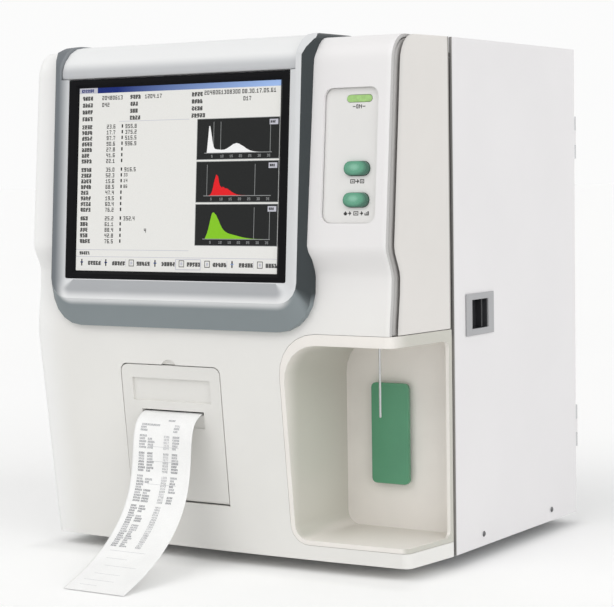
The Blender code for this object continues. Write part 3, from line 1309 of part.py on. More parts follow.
def make_printer():
    """Tub that holds the roll on its spindle, with the thermal head over the platen."""
    axis = roll_place()
    inner = PAPER_WIDTH / 2 + EAR_CLEARANCE + EAR_THICKNESS + GEAR_WIDTH + GAP + TUB_CLEARANCE
    outer = inner + TUB_WALL
    depth, height = platen_place()
    pivot = Vector(door_pivot())
    front = pivot.y + DOOR_THICKNESS / 2 + TUB_CLEARANCE
    back = axis.y + ROLL_RADIUS + TUB_CLEARANCE
    bottom = axis.z - ROLL_RADIUS - TUB_CLEARANCE
    top = axis.z + ROLL_RADIUS + TUB_HEADROOM
    frame = block("printer_frame", (axis.x - outer, front, bottom - TUB_WALL),
                  (axis.x + outer, back + TUB_WALL, top), DARK)
    cut(frame, block("tub_hollow", (axis.x - inner, front - OVERRUN, bottom),
                     (axis.x + inner, back, top + OVERRUN), cutter=True))
    for name, level in (("upper", top - TUB_WALL), ("lower", bottom - TUB_WALL)):
        join(frame, block("tub_arm_" + name, (axis.x - outer, back + TUB_WALL / 2, level),
                          (axis.x + outer, FRAME_FRONT - GAP, level + TUB_WALL), cutter=True))
    cut(frame, rod("spindle_seat", axis, SPINDLE_RADIUS * SPINDLE_NECK_SHARE + GAP, 4 * outer, "x",
                   cutter=True, sides=20))
    spindle = rod("roll_spindle", axis, SPINDLE_RADIUS, 2 * (inner - GAP), "x", DARK, sides=24)
    join(spindle, rod("spindle_neck", axis, SPINDLE_RADIUS * SPINDLE_NECK_SHARE, 2 * (outer - GAP), "x",
                      cutter=True, sides=16))
    roll = rod("paper_roll", axis, ROLL_RADIUS, PAPER_WIDTH, "x", PAPER, sides=40)
    cut(roll, rod("roll_bore", axis, SPINDLE_RADIUS + GAP, 2 * PAPER_WIDTH, "x", cutter=True, sides=24))
    head_low = height + PLATEN_RADIUS + HEAD_ABOVE_PLATEN
    turn = Matrix.Rotation(door_lean(), 3, 'X')
    spot = pivot + turn @ Vector((0.0, depth, head_low))
    head = block("thermal_head", (axis.x - PAPER_WIDTH / 2, spot.y - HEAD_DEPTH / 2, spot.z),
                 (axis.x + PAPER_WIDTH / 2, spot.y + HEAD_DEPTH / 2, spot.z + HEAD_HEIGHT), ZINC)
    beam_z = spot.z + HEAD_HEIGHT + GAP
    join(frame, block("head_beam", (axis.x - outer, spot.y - HEAD_DEPTH / 2, beam_z),
                      (axis.x + outer, spot.y + HEAD_DEPTH / 2, beam_z + TUB_WALL), cutter=True))
    for side, name in ((-1, "left"), (1, "right")):
        near = axis.x + side * (inner + GAP)
        far = axis.x + side * (outer - GAP)
        join(frame, block("head_cheek_" + name,
                          (min(near, far), spot.y - HEAD_DEPTH / 2 + GAP, top - TUB_WALL * 2),
                          (max(near, far), front + TUB_WALL * 3, beam_z + TUB_WALL / 2), cutter=True))


def strip_point(share):
    """The printed strip's middle line: out of the slot, down and along the bench."""
    slot = Vector((0.0, 0.0, DOOR_HEIGHT - SLOT_FROM_TOP - DOOR_THICKNESS / 2))
    start = Vector(door_pivot()) + Matrix.Rotation(door_lean(), 3, 'X') @ slot
    fall = start.z - STRIP_FLOOR
    left = 1 - share
    weights = (left ** 3, 3 * share * left ** 2, 3 * share ** 2 * left, share ** 3)
    forward = sum(weight * STRIP_REACH * part for weight, part in zip(weights, STRIP_FORWARD_SHARES))
    down = sum(weight * fall * part for weight, part in zip(weights, STRIP_FALL_SHARES))
    return Vector((start.x + STRIP_DRIFT * share ** 2, start.y - forward, start.z - down))


def make_strip():
    rings = []
    half = PAPER_WIDTH / 2
    for index in range(STRIP_STEPS + 1):
        share = index / STRIP_STEPS
        place = strip_point(share)
        ahead = strip_point(min(1.0, share + STRIP_LOOK_SHARE)) - strip_point(max(0.0, share - STRIP_LOOK_SHARE))
        normal = Vector((0.0, ahead.z, -ahead.y)).normalized() * PAPER_THICKNESS / 2
        if normal.z < 0:
            normal = -normal
        across = Vector((half, 0.0, 0.0))
        rings.append([place - across - normal, place + across - normal, place + across + normal,
                      place - across + normal])
    loft("paper_strip", rings, PAPER)


def make_probe():
    """Needle, wash block, guide plate, carriage, lead screw and its motor, over the sample bay."""
    x, y = RIGHT - PROBE_FROM_RIGHT, SEAM - PROBE_REACH
    roof = UNDER + BAY_SEAM_TOP - BAY_HEADER + BAY_WALL
    rim_roof = UNDER + BAY_SEAM_TOP
    tip = UNDER + PROBE_TIP_HEIGHT
    profile = [
        (0.0, tip + PROBE_LENGTH),
        (PROBE_RADIUS, tip + PROBE_LENGTH),
        (PROBE_RADIUS, tip + PROBE_RADIUS),
        (PROBE_RADIUS / 2, tip),
        (0.0, tip),
    ]
    turned("sample_probe", profile, (x, y, 0.0), "z", STEEL, steps=12)
    wash = rod("wash_block", (x, y, roof + GAP + WASH_HEIGHT / 2), WASH_RADIUS, WASH_HEIGHT, "z", CLEAR,
               sides=20)
    neck_low = UNDER + BAY_SEAM_TOP - BAY_HEADER - WASH_NECK
    neck = rod("wash_neck", (x, y, (roof + WASH_HEIGHT / 2 + neck_low) / 2), WASH_NECK,
               roof + WASH_HEIGHT / 2 - neck_low, "z", cutter=True, sides=20)
    join(wash, neck)
    cut(wash, rod("wash_bore", (x, y, roof), WASH_BORE, 4 * WASH_HEIGHT, "z", cutter=True, sides=12))
    guide_front = SEAM - GAP - GUIDE_THICKNESS
    guide_low = rim_roof + GAP
    guide = block("probe_guide", (x - GUIDE_WIDTH / 2, guide_front, guide_low),
                  (x + GUIDE_WIDTH / 2, SEAM - GAP, guide_low + GUIDE_HEIGHT), ZINC)
    shelf_low = guide_low + GUIDE_HEIGHT - GUIDE_THICKNESS
    shelf_front = y - CARRIAGE_HEIGHT / 2
    join(guide, block("guide_shelf", (x - GUIDE_WIDTH / 2, shelf_front, shelf_low),
                      (x + GUIDE_WIDTH / 2, SEAM - GAP - GUIDE_THICKNESS / 2, shelf_low + GUIDE_THICKNESS),
                      cutter=True))
    screw_x = x + SCREW_OFFSET
    screw_y = y
    cut(guide, rod("guide_screw_hole", (screw_x, screw_y, shelf_low), SCREW_RADIUS + GAP, 4 * GUIDE_THICKNESS,
                   "z", cutter=True, sides=16))
    cut(guide, rod("guide_probe_hole", (x, y, shelf_low), PROBE_RADIUS + 3 * GAP, 4 * GUIDE_THICKNESS,
                   "z", cutter=True, sides=12))
    carriage_low = tip + PROBE_LENGTH - CARRIAGE_HEIGHT - PROBE_PROUD
    carriage = block("probe_carriage",
                     (x - CARRIAGE_WIDTH / 2, shelf_front, carriage_low),
                     (x + CARRIAGE_WIDTH / 2, guide_front - GAP, carriage_low + CARRIAGE_HEIGHT), DARK,
                     round_by=GAP * 3, steps=1)
    cut(carriage, rod("carriage_probe_hole", (x, y, carriage_low), PROBE_RADIUS + GAP, 4 * CARRIAGE_HEIGHT,
                      "z", cutter=True, sides=12))
    cut(carriage, rod("carriage_screw_hole", (screw_x, screw_y, carriage_low), SCREW_RADIUS + SCREW_CLEARANCE,
                      4 * CARRIAGE_HEIGHT, "z", cutter=True, sides=16))
    screw_low = roof + WASH_HEIGHT + GUIDE_THICKNESS
    foot = block("guide_foot", (x - GUIDE_WIDTH / 2, shelf_front, screw_low - GUIDE_THICKNESS + GAP),
                 (x + GUIDE_WIDTH / 2, SEAM - GAP - GUIDE_THICKNESS / 2, screw_low + GAP), cutter=True)
    join(guide, foot)
    cut(guide, rod("foot_screw_hole", (screw_x, screw_y, screw_low), SCREW_RADIUS * SCREW_NECK_SHARE + GAP,
                   4 * GUIDE_THICKNESS, "z", cutter=True, sides=16))
    cut(guide, rod("foot_probe_hole", (x, y, screw_low), PROBE_RADIUS + 3 * GAP, 4 * GUIDE_THICKNESS,
                   "z", cutter=True, sides=12))
    start = screw_low + 2 * GAP
    end = shelf_low + GUIDE_THICKNESS + 2 * GAP
    screw = rod("lead_screw", (screw_x, screw_y, (start + end) / 2), SCREW_RADIUS, end - start, "z", STEEL,
                sides=16)
    join(screw, rod("screw_neck", (screw_x, screw_y, start - GUIDE_THICKNESS / 2 + GAP),
                    SCREW_RADIUS * SCREW_NECK_SHARE, GUIDE_THICKNESS + 4 * GAP, "z", cutter=True, sides=12))
    motor_low = shelf_low + GUIDE_THICKNESS + GAP
    half = MOTOR_SIZE / 2
    motor = block("probe_motor", (screw_x - half, screw_y - half, motor_low),
                  (screw_x + half, screw_y + half, motor_low + MOTOR_HEIGHT), DARK, round_by=MOTOR_ROUNDING)
    cut(motor, rod("motor_bore", (screw_x, screw_y, motor_low), SCREW_RADIUS + GAP, 6 * GAP, "z",
                   cutter=True, sides=16))
    cut(motor, rod("motor_probe_bore", (x, y, motor_low), PROBE_RADIUS + 4 * GAP, 4 * MOTOR_HEIGHT, "z",
                   cutter=True, sides=12))


def make_partition():
    """Upright sheet between the electronics and the fluid side."""
    x = RIGHT - PARTITION_FROM_RIGHT
    low = TRAY_BOTTOM + SHEET + GAP
    front = FRAME_FRONT + SHEET + GAP
    back = REAR_PANEL_FRONT - GAP - SHEET - GAP
    block("partition", (x - SHEET, front, low), (x, back, low + PARTITION_HEIGHT), ZINC)


def make_baths():
    """Two counting baths on a shelf fixed to the partition."""
    x = RIGHT - PARTITION_FROM_RIGHT + GAP
    front = SEAM + BAY_BACK + BAY_WALL + SHELF_FROM_BAY
    level = UNDER + SHELF_HEIGHT
    shelf = block("bath_shelf", (x, front, level), (x + SHELF_WIDTH, front + SHELF_DEPTH, level + SHEET), ZINC)
    join(shelf, block("shelf_flange", (x, front, level),
                      (x + SHEET, front + SHELF_DEPTH, level + RETURN_FLANGE), cutter=True))
    for index, name in enumerate(("wbc_bath", "rbc_bath")):
        centre = Vector((x + SHELF_WIDTH * (1 + 2 * index) / 4, front + SHELF_DEPTH / 2, 0.0))
        low = level + SHEET + GAP
        stub = low - BATH_STUB
        inner = BATH_RADIUS - BATH_WALL
        profile = [
            (0.0, low + BATH_WALL),
            (inner, low + BATH_HEIGHT * CONE_SHARE),
            (inner, low + BATH_HEIGHT),
            (BATH_RADIUS, low + BATH_HEIGHT),
            (BATH_RADIUS, low),
            (BATH_RADIUS * STUB_SHARE, low),
            (BATH_RADIUS * STUB_SHARE, stub),
            (0.0, stub),
        ]
        turned(name, profile, centre, "z", CLEAR, steps=24)
        cut(shelf, rod(name + "_hole", centre + Vector((0.0, 0.0, level)), BATH_RADIUS * STUB_SHARE + GAP,
                       4 * SHEET, "z", cutter=True, sides=24))


def make_valves():
    """A row of solenoid valves on one manifold block, on the partition."""
    x = RIGHT - PARTITION_FROM_RIGHT + GAP
    front = SEAM + BAY_BACK + BAY_WALL + SHELF_FROM_BAY
    level = UNDER + VALVE_LEVEL
    long = VALVE_PITCH * VALVE_COUNT
    bank = block("valve_bank", (x, front, level),
                 (x + VALVE_BLOCK_DEPTH, front + long, level + VALVE_BLOCK_TALL), CLEAR)
    for index in range(VALVE_COUNT):
        place = (x + (VALVE_BLOCK_DEPTH + VALVE_LENGTH) / 2, front + VALVE_PITCH * (index + 0.5),
                 level + VALVE_BLOCK_TALL / 2)
        join(bank, rod("valve_%d" % index, place, VALVE_RADIUS, VALVE_LENGTH + VALVE_BLOCK_DEPTH / 2, "x",
                       cutter=True, sides=16))


def make_syringe():
    """Dosing syringe: a barrel on the partition and a plunger that slides in it."""
    x = RIGHT - PARTITION_FROM_RIGHT + GAP + BARREL_RADIUS + BARREL_PAD
    y = SEAM + BAY_BACK + BAY_WALL + SHELF_FROM_BAY + VALVE_PITCH * VALVE_COUNT + SYRINGE_FROM_VALVES
    level = UNDER + BARREL_LEVEL
    barrel = rod("syringe_barrel", (x, y, level + BARREL_LENGTH / 2), BARREL_RADIUS, BARREL_LENGTH, "z",
                 CLEAR, sides=24)
    wall = RIGHT - PARTITION_FROM_RIGHT + GAP
    for name, z in (("upper", level + BARREL_LENGTH - BARREL_PAD * 2), ("lower", level + BARREL_PAD)):
        join(barrel, block("barrel_pad_" + name, (wall, y - BARREL_RADIUS, z),
                           (x, y + BARREL_RADIUS, z + BARREL_PAD), cutter=True))
    cut(barrel, rod("barrel_bore", (x, y, level + BARREL_LENGTH / 2 - BARREL_PAD), BARREL_BORE,
                    BARREL_LENGTH, "z", cutter=True, sides=24))
    head_top = level + BARREL_LENGTH - BARREL_PAD - OVERRUN
    radius = BARREL_BORE - GAP
    rod_low = level - PLUNGER_TAIL
    profile = [
        (0.0, head_top),
        (radius, head_top),
        (radius, head_top - PLUNGER_HEAD),
        (PLUNGER_ROD, head_top - PLUNGER_HEAD),
        (PLUNGER_ROD, rod_low + PLUNGER_HEAD / 2),
        (radius, rod_low + PLUNGER_HEAD / 2),
        (radius, rod_low),
        (0.0, rod_low),
    ]
    turned("syringe_plunger", profile, (x, y, 0.0), "z", STEEL, steps=20)


def make_pump():
    """Vacuum pump: a motor lying on the tray with its pump head."""
    x = RIGHT - PARTITION_FROM_RIGHT + GAP + PUMP_HEAD / 2 + PUMP_MARGIN
    y = REAR_PANEL_FRONT - PUMP_LENGTH - PUMP_HEAD - PUMP_MARGIN
    floor = TRAY_BOTTOM + SHEET + GAP
    head = block("vacuum_pump", (x - PUMP_HEAD / 2, y, floor),
                 (x + PUMP_HEAD / 2, y + PUMP_HEAD / 2, floor + PUMP_HEAD), DARK, round_by=PUMP_ROUNDING)
    join(head, rod("pump_motor", (x, y + PUMP_HEAD / 4 + PUMP_LENGTH / 2, floor + PUMP_HEAD / 2), PUMP_RADIUS,
                   PUMP_LENGTH, "y", cutter=True, sides=24))


def make_supply():
    """Power supply: a vented box on the tray behind the inlet."""
    left = LEFT + SHEET + SUPPLY_MARGIN
    back = REAR_PANEL_FRONT - INLET_DEPTH - SUPPLY_MARGIN
    floor = TRAY_BOTTOM + SHEET + GAP
    box = block("power_supply", (left, back - SUPPLY_DEPTH, floor),
                (left + SUPPLY_WIDTH, back, floor + SUPPLY_HEIGHT), ZINC)
    for index in range(SUPPLY_VENTS):
        y = back - SUPPLY_DEPTH * (index + 1) / (SUPPLY_VENTS + 1)
        cut(box, block("supply_vent_%d" % index,
                       (left + SUPPLY_WIDTH * (1 - VENT_SHARE) / 2, y - SHEET, floor + SUPPLY_HEIGHT - SHEET),
                       (left + SUPPLY_WIDTH * (1 + VENT_SHARE) / 2, y + SHEET, floor + SUPPLY_HEIGHT + OVERRUN),
                       cutter=True))


def make_board():
    """Main board on standoffs at the left of the partition, with its larger chips."""
    x = RIGHT - PARTITION_FROM_RIGHT - SHEET - GAP
    middle = (FRAME_FRONT + REAR_PANEL_FRONT) / 2
    low = UNDER + BOARD_LEVEL
    front = middle - BOARD_WIDTH / 2
    board = block("main_board", (x - BOARD_STANDOFF - BOARD_THICKNESS, front, low),
                  (x - BOARD_STANDOFF, front + BOARD_WIDTH, low + BOARD_HEIGHT), BOARD)
    for index, (along, up) in enumerate(STANDOFF_SHARES):
        join(board, rod("board_standoff_%d" % index,
                        (x - BOARD_STANDOFF / 2 - BOARD_THICKNESS / 4, front + BOARD_WIDTH * along,
                         low + BOARD_HEIGHT * up),
                        STANDOFF_RADIUS, BOARD_STANDOFF + BOARD_THICKNESS / 2, "x", cutter=True, sides=12))
    for index, (along, up, share) in enumerate(CHIP_SHARES):
        size = BOARD_WIDTH * share / 2
        y = front + BOARD_WIDTH * along
        z = low + BOARD_HEIGHT * up
        face = x - BOARD_STANDOFF - BOARD_THICKNESS
        join(board, block("board_chip_%d" % index, (face - CHIP_HEIGHT, y - size, z - size),
                          (face + BOARD_THICKNESS / 2, y + size, z + size), cutter=True))


def make_fan():
    """Fan frame inside the rear panel and its bladed rotor."""
    x, z = RIGHT - FAN_FROM_RIGHT, UNDER + FAN_LEVEL
    back = REAR_PANEL_FRONT - GAP
    front = back - FAN_DEPTH
    half = FAN_SIZE / 2
    housing = block("fan_housing", (x - half, front, z - half), (x + half, back, z + half), DARK,
                    round_by=FAN_ROUNDING)
    tunnel = rod("fan_tunnel", (x, (front + back) / 2, z), FAN_RADIUS, 2 * FAN_DEPTH, "y", cutter=True, sides=32)
    cut(housing, tunnel)
    bar_y = front + SHEET
    for index in range(FAN_STRUTS):
        bar = block("fan_strut_%d" % index, (-SHEET, -SHEET, 0.0), (SHEET, SHEET, FAN_RADIUS + SHEET), cutter=True)
        spin = Matrix.Rotation(2 * math.pi * index / FAN_STRUTS, 4, 'Y')
        bar.matrix_world = Matrix.Translation((x, bar_y, z)) @ spin @ matrix_of(bar)
        join(housing, bar)
    join(housing, rod("fan_plate", (x, bar_y, z), FAN_HUB, 2 * SHEET, "y", cutter=True, sides=20))
    axle = FAN_DEPTH - 4 * SHEET
    join(housing, rod("fan_axle", (x, bar_y + axle / 2, z), SHEET, axle, "y", cutter=True, sides=12))
    hub_front = bar_y + SHEET + GAP
    hub_back = back - SHEET
    middle = Vector((x, (hub_front + hub_back) / 2, z))
    deep = hub_back - hub_front
    rotor = rod("fan_rotor", middle, FAN_HUB, deep, "y", DARK, sides=24)
    pitch = Matrix.Rotation(FAN_PITCH, 4, 'Z')
    for index in range(FAN_BLADES):
        blade = block("fan_blade_%d" % index, (-SHEET / 2, SHEET - deep / 2, FAN_HUB / 2),
                      (SHEET / 2, deep / 2 - SHEET, FAN_RADIUS - FAN_TIP_GAP), cutter=True)
        spin = Matrix.Rotation(2 * math.pi * index / FAN_BLADES, 4, 'Y')
        blade.matrix_world = Matrix.Translation(middle) @ spin @ pitch @ matrix_of(blade)
        join(rotor, blade)
    cut(rotor, rod("rotor_bore", (x, hub_front, z), SHEET + GAP, 2 * (axle - SHEET + GAP), "y",
                   cutter=True, sides=12))


def make_rear_fittings():
    """Power inlet, rocker switch, fluid nipples and data ports, each through its own opening."""
    x = RIGHT - INLET_FROM_RIGHT
    outer = REAR_PANEL_BACK + GAP
    z = UNDER + INLET_LEVEL
    inlet = block("power_inlet", (x - INLET_WIDTH / 2, REAR_PANEL_FRONT - INLET_DEPTH, z - INLET_HEIGHT / 2),
                  (x + INLET_WIDTH / 2, outer + FLANGE_THICK / 2, z + INLET_HEIGHT / 2), DARK)
    wide = INLET_WIDTH / 2 + FLANGE_WIDE
    tall = INLET_HEIGHT / 2 + FLANGE_WIDE
    join(inlet, block("inlet_flange", (x - wide, outer, z - tall), (x + wide, outer + FLANGE_THICK, z + tall),
                      cutter=True))
    make_rocker(inlet, x, outer)
    well_half = (INLET_WIDTH * INLET_WELL_SHARE / 2, INLET_HEIGHT * INLET_WELL_SHARE / 2)
    well_floor = REAR_PANEL_FRONT - INLET_DEPTH * INLET_WELL_SHARE
    cut(inlet, block("inlet_well", (x - well_half[0], well_floor, z - well_half[1]),
                     (x + well_half[0], outer + FLANGE_THICK + OVERRUN, z + well_half[1]), cutter=True))
    for index in (-1, 0, 1):
        pin_x = x + index * INLET_WIDTH / 5
        join(inlet, block("inlet_pin_%d" % index, (pin_x - SHEET / 2, well_floor - SHEET, z - 2 * SHEET),
                          (pin_x + SHEET / 2, REAR_PANEL_BACK - GAP, z + 2 * SHEET), cutter=True))
    make_ports(outer)
    data_x, data_z = RIGHT - DATA_FROM_RIGHT, UNDER + DATA_LEVEL
    half_x, half_z = DATA_WIDTH / 2, DATA_HEIGHT / 2
    data = block("data_port_block", (data_x - half_x, REAR_PANEL_FRONT - DATA_DEPTH, data_z - half_z),
                 (data_x + half_x, outer + FLANGE_THICK / 2, data_z + half_z), DARK)
    half_x += FLANGE_WIDE
    half_z += FLANGE_WIDE
    join(data, block("data_flange", (data_x - half_x, outer, data_z - half_z),
                     (data_x + half_x, outer + FLANGE_THICK, data_z + half_z), cutter=True))
    for index, (share, wide_share) in enumerate(SOCKET_SHARES):
        centre = data_x + DATA_WIDTH * share
        half = DATA_WIDTH * wide_share / 2
        cut(data, block("data_socket_%d" % index,
                        (centre - half, REAR_PANEL_FRONT - DATA_DEPTH / 2, data_z - DATA_HEIGHT * DATA_TALL_SHARE),
                        (centre + half, outer + FLANGE_THICK + OVERRUN, data_z + DATA_HEIGHT * DATA_TALL_SHARE),
                        cutter=True))


def make_rocker(frame, x, outer):
    """The inlet's own power switch: a well above the socket and a rocker that tips on a pin in it."""
    z = UNDER + ROCKER_LEVEL
    inlet_z = UNDER + INLET_LEVEL
    join(frame, block("rocker_body",
                      (x - ROCKER_WIDTH / 2, REAR_PANEL_FRONT - INLET_DEPTH / 2, z - ROCKER_HEIGHT / 2),
                      (x + ROCKER_WIDTH / 2, outer + FLANGE_THICK / 2, z + ROCKER_HEIGHT / 2), cutter=True))
    wide = ROCKER_WIDTH / 2 + FLANGE_WIDE
    flange_top = z + ROCKER_HEIGHT / 2 + FLANGE_WIDE
    join(frame, block("rocker_flange", (x - wide, outer, inlet_z), (x + wide, outer + FLANGE_THICK, flange_top),
                      cutter=True))
    half_x = ROCKER_WIDTH / 2 - SHEET
    half_z = ROCKER_HEIGHT / 2 - SHEET
    well_floor = outer - ROCKER_DEPTH
    cut(frame, block("rocker_well", (x - half_x, well_floor, z - half_z),
                     (x + half_x, outer + FLANGE_THICK + OVERRUN, z + half_z), cutter=True))
    axis_y = outer
    reach = half_z - 2 * GAP
    face_y = axis_y + FLANGE_THICK
    points = [
        (axis_y - ROCKER_BODY, z - reach * ROCKER_BODY_SHARE),
        (face_y, z - reach),
        (face_y + ROCKER_DISH * ROCKER_SADDLE_SHARE, z),
        (face_y + ROCKER_DISH, z + reach * ROCKER_CREST_SHARE),
        (axis_y + FLANGE_THICK * ROCKER_SADDLE_SHARE, z + reach),
        (axis_y - ROCKER_BODY, z + reach * ROCKER_BODY_SHARE),
    ]
    rocker = sheet_outline("power_rocker", points, 2 * (half_x - GAP), "side", (x, 0.0, 0.0), RUBBER)
    pin_long = ROCKER_WIDTH - SHEET
    join(rocker, rod("rocker_pin", (x, axis_y, z), ROCKER_PIVOT, pin_long, "x", cutter=True, sides=12))
    cut(frame, rod("rocker_bore", (x, axis_y, z), ROCKER_PIVOT + GAP, pin_long + 2 * GAP, "x", cutter=True,
                   sides=12))
    on_axis("rocker_pivot", (x, axis_y, z), rocker)


def make_ports(outer):
    """Fluid nipples on one plate, for diluent, lyse, rinse and waste tubing."""
    first = port_x(0)
    last = port_x(PORT_COUNT - 1)
    z = UNDER + PORT_LEVEL
    half = PORT_RADIUS + FLANGE_WIDE
    plate = block("fluid_port_plate", (first - half, outer, z - half), (last + half, outer + PORT_PLATE, z + half),
                  ZINC)
    tip = BACK + PORT_REACH
    start = REAR_PANEL_FRONT - PORT_RADIUS
    end = outer + PORT_PLATE / 2
    for index in range(PORT_COUNT):
        x = port_x(index)
        join(plate, rod("nipple_root_%d" % index, (x, (start + end) / 2, z), PORT_RADIUS, end - start, "y",
                        cutter=True, sides=16))
        join(plate, rod("nipple_%d" % index, (x, (tip + outer) / 2, z), PORT_RADIUS * NIPPLE_SHARE, tip - outer,
                        "y", cutter=True, sides=16))
    for index in range(PORT_COUNT):
        cut(plate, rod("nipple_bore_%d" % index, (port_x(index), outer, z), PORT_BORE, 6 * PORT_REACH, "y",
                       cutter=True, sides=12))


def hinge_axis():
    return RIGHT - HINGE_SET_IN, BACK + HINGE_BEHIND


def make_side_door():
    """Full-height sheet door, hung on two pins behind the cabinet, with its rail, screws and latch."""
    front = SEAM + SEAM_GAP
    skin_low = (RIGHT - DOOR_SHEET, front, UNDER)
    door = block("side_door", skin_low, (RIGHT, BACK, ROOF), SHELL)
    x, y = hinge_axis()
    for name, level in hinge_levels():
        barrel = rod("door_knuckle_" + name, (x, y, level), HINGE_RADIUS, HINGE_KNUCKLE - 2 * GAP, "z",
                     cutter=True, sides=20)
        web = block("door_web_" + name, (x, BACK - HINGE_WEB, level - HINGE_KNUCKLE / 2 + GAP),
                    (RIGHT - DOOR_SHEET / 4, y, level + HINGE_KNUCKLE / 2 - GAP), cutter=True)
        join(door, barrel, web)
        cut(door, rod("door_bore_" + name, (x, y, level), HINGE_PIN + GAP, 2 * HINGE_KNUCKLE, "z",
                      cutter=True, sides=16))
    latch_y = SEAM + LATCH_FROM_FRONT
    latch_z = UNDER + LATCH_HEIGHT
    half_y = LATCH_WIDTH / 2 - LATCH_RIM + LATCH_WALL
    half_z = LATCH_TALL / 2 - LATCH_RIM_TALL + LATCH_WALL
    cut(door, block("latch_opening", (RIGHT - 4 * DOOR_SHEET, latch_y - half_y - GAP, latch_z - half_z - GAP),
                    (RIGHT + OVERRUN, latch_y + half_y + GAP, latch_z + half_z + GAP), cutter=True))
    rail_z = UNDER + SCREW_RISE
    rail_x = RIGHT - DOOR_SHEET - GAP
    rail = block("door_rail", (rail_x - RAIL_DEPTH, SEAM + CABINET_DEPTH * RAIL_SHARE, rail_z - RAIL_HEIGHT / 2),
                 (rail_x, BACK - CABINET_DEPTH * RAIL_SHARE, rail_z + RAIL_HEIGHT / 2), ZINC)
    moving = [door, rail]
    for name, share in (("door_screw_front", SCREW_SHARE), ("door_screw_rear", 1 - SCREW_SHARE)):
        spot = Vector((RIGHT, SEAM + CABINET_DEPTH * share, rail_z))
        hole = rod(name + "_hole", spot, SCREW_SHANK + GAP, 4 * (DOOR_SHEET + RAIL_DEPTH), "x", cutter=True,
                   sides=12)
        cut(door, hole)
        cut(rail, hole)
        moving.append(make_screw(name, spot, DOOR_SHEET + SCREW_BITE))
    moving += make_latch(latch_y, latch_z, half_y, half_z)
    on_axis("side_door_hinge", (x, y, UNDER), *moving)


def make_latch(latch_y, latch_z, half_y, half_z):
    """Grey frame let into the door, with a dark well, and a slider with a finger grip in it."""
    frame = block("latch_frame", (RIGHT + GAP, latch_y - LATCH_WIDTH / 2, latch_z - LATCH_TALL / 2),
                  (RIGHT + LATCH_PROUD, latch_y + LATCH_WIDTH / 2, latch_z + LATCH_TALL / 2), GREY)
    floor = RIGHT - LATCH_DEPTH
    join(frame, block("latch_well_wall", (floor - LATCH_WALL, latch_y - half_y, latch_z - half_z),
                      (RIGHT + LATCH_PROUD / 2, latch_y + half_y, latch_z + half_z), cutter=True))
    cut(frame, block("latch_well", (floor, latch_y - half_y + LATCH_WALL, latch_z - half_z + LATCH_WALL),
                     (RIGHT + OVERRUN, latch_y + half_y - LATCH_WALL, latch_z + half_z - LATCH_WALL), cutter=True))
    inner_y = half_y - LATCH_WALL - GAP
    inner_z = half_z - LATCH_WALL - GAP
    slider = block("door_latch", (floor + GAP, latch_y - inner_y, latch_z - inner_z),
                   (floor + GAP + SLIDER_THICKNESS, latch_y + inner_y - LATCH_TRAVEL, latch_z + inner_z), DARK)
    grip_y = latch_y + inner_y - LATCH_TRAVEL
    grip_x = floor + GAP + SLIDER_THICKNESS / 2
    join(slider, block("latch_grip", (grip_x, grip_y - GRIP_THICKNESS, latch_z - inner_z),
                       (RIGHT - GRIP_SUNK, grip_y, latch_z + inner_z), cutter=True))
    return frame, slider


def hinge_levels():
    return (("lower", UNDER + HINGE_FROM_END), ("upper", ROOF - HINGE_FROM_END))


def make_hinges():
    """Fixed leaf with two knuckles and a pin, on the rear panel, for each of the door's knuckles."""
    x, y = hinge_axis()
    leaf_front = REAR_PANEL_BACK + GAP
    for name, level in hinge_levels():
        half = HINGE_KNUCKLE * 3 / 2
        leaf = block("hinge_" + name, (x - HINGE_LEAF, leaf_front, level - half),
                     (x - HINGE_RADIUS - GAP, leaf_front + SHEET, level + half), ZINC)
        for side in (-1, 1):
            middle = level + side * HINGE_KNUCKLE
            low = middle - HINGE_KNUCKLE / 2
            join(leaf, rod("fixed_knuckle_%s_%d" % (name, side), (x, y, middle), HINGE_RADIUS, HINGE_KNUCKLE, "z",
                           cutter=True, sides=20))
            join(leaf, block("fixed_web_%s_%d" % (name, side), (x - HINGE_RADIUS - OVERRUN, leaf_front, low),
                             (x, leaf_front + SHEET, low + HINGE_KNUCKLE), cutter=True))
        join(leaf, rod("pin_" + name, (x, y, level), HINGE_PIN, HINGE_KNUCKLE * 5 / 2, "z", cutter=True,
                       sides=16))


def main():
    feet = make_feet()
    make_base_tray(feet)
    make_top_cover()
    make_rear_panel()
    make_front_frame()
    make_fascia(feet)
    make_cheek()
    make_bay()
    make_aspirate_key()
    make_bezel()
    make_cap()
    make_screen()
    make_controls()
    make_printer_door()
    make_printer()
    make_strip()
    make_probe()
    make_partition()
    make_baths()
    make_valves()
    make_syringe()
    make_pump()
    make_supply()
    make_board()
    make_fan()
    make_rear_fittings()
    make_side_door()
    make_hinges()


main()
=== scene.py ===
import math
import random

import bpy
from mathutils import Matrix, Vector


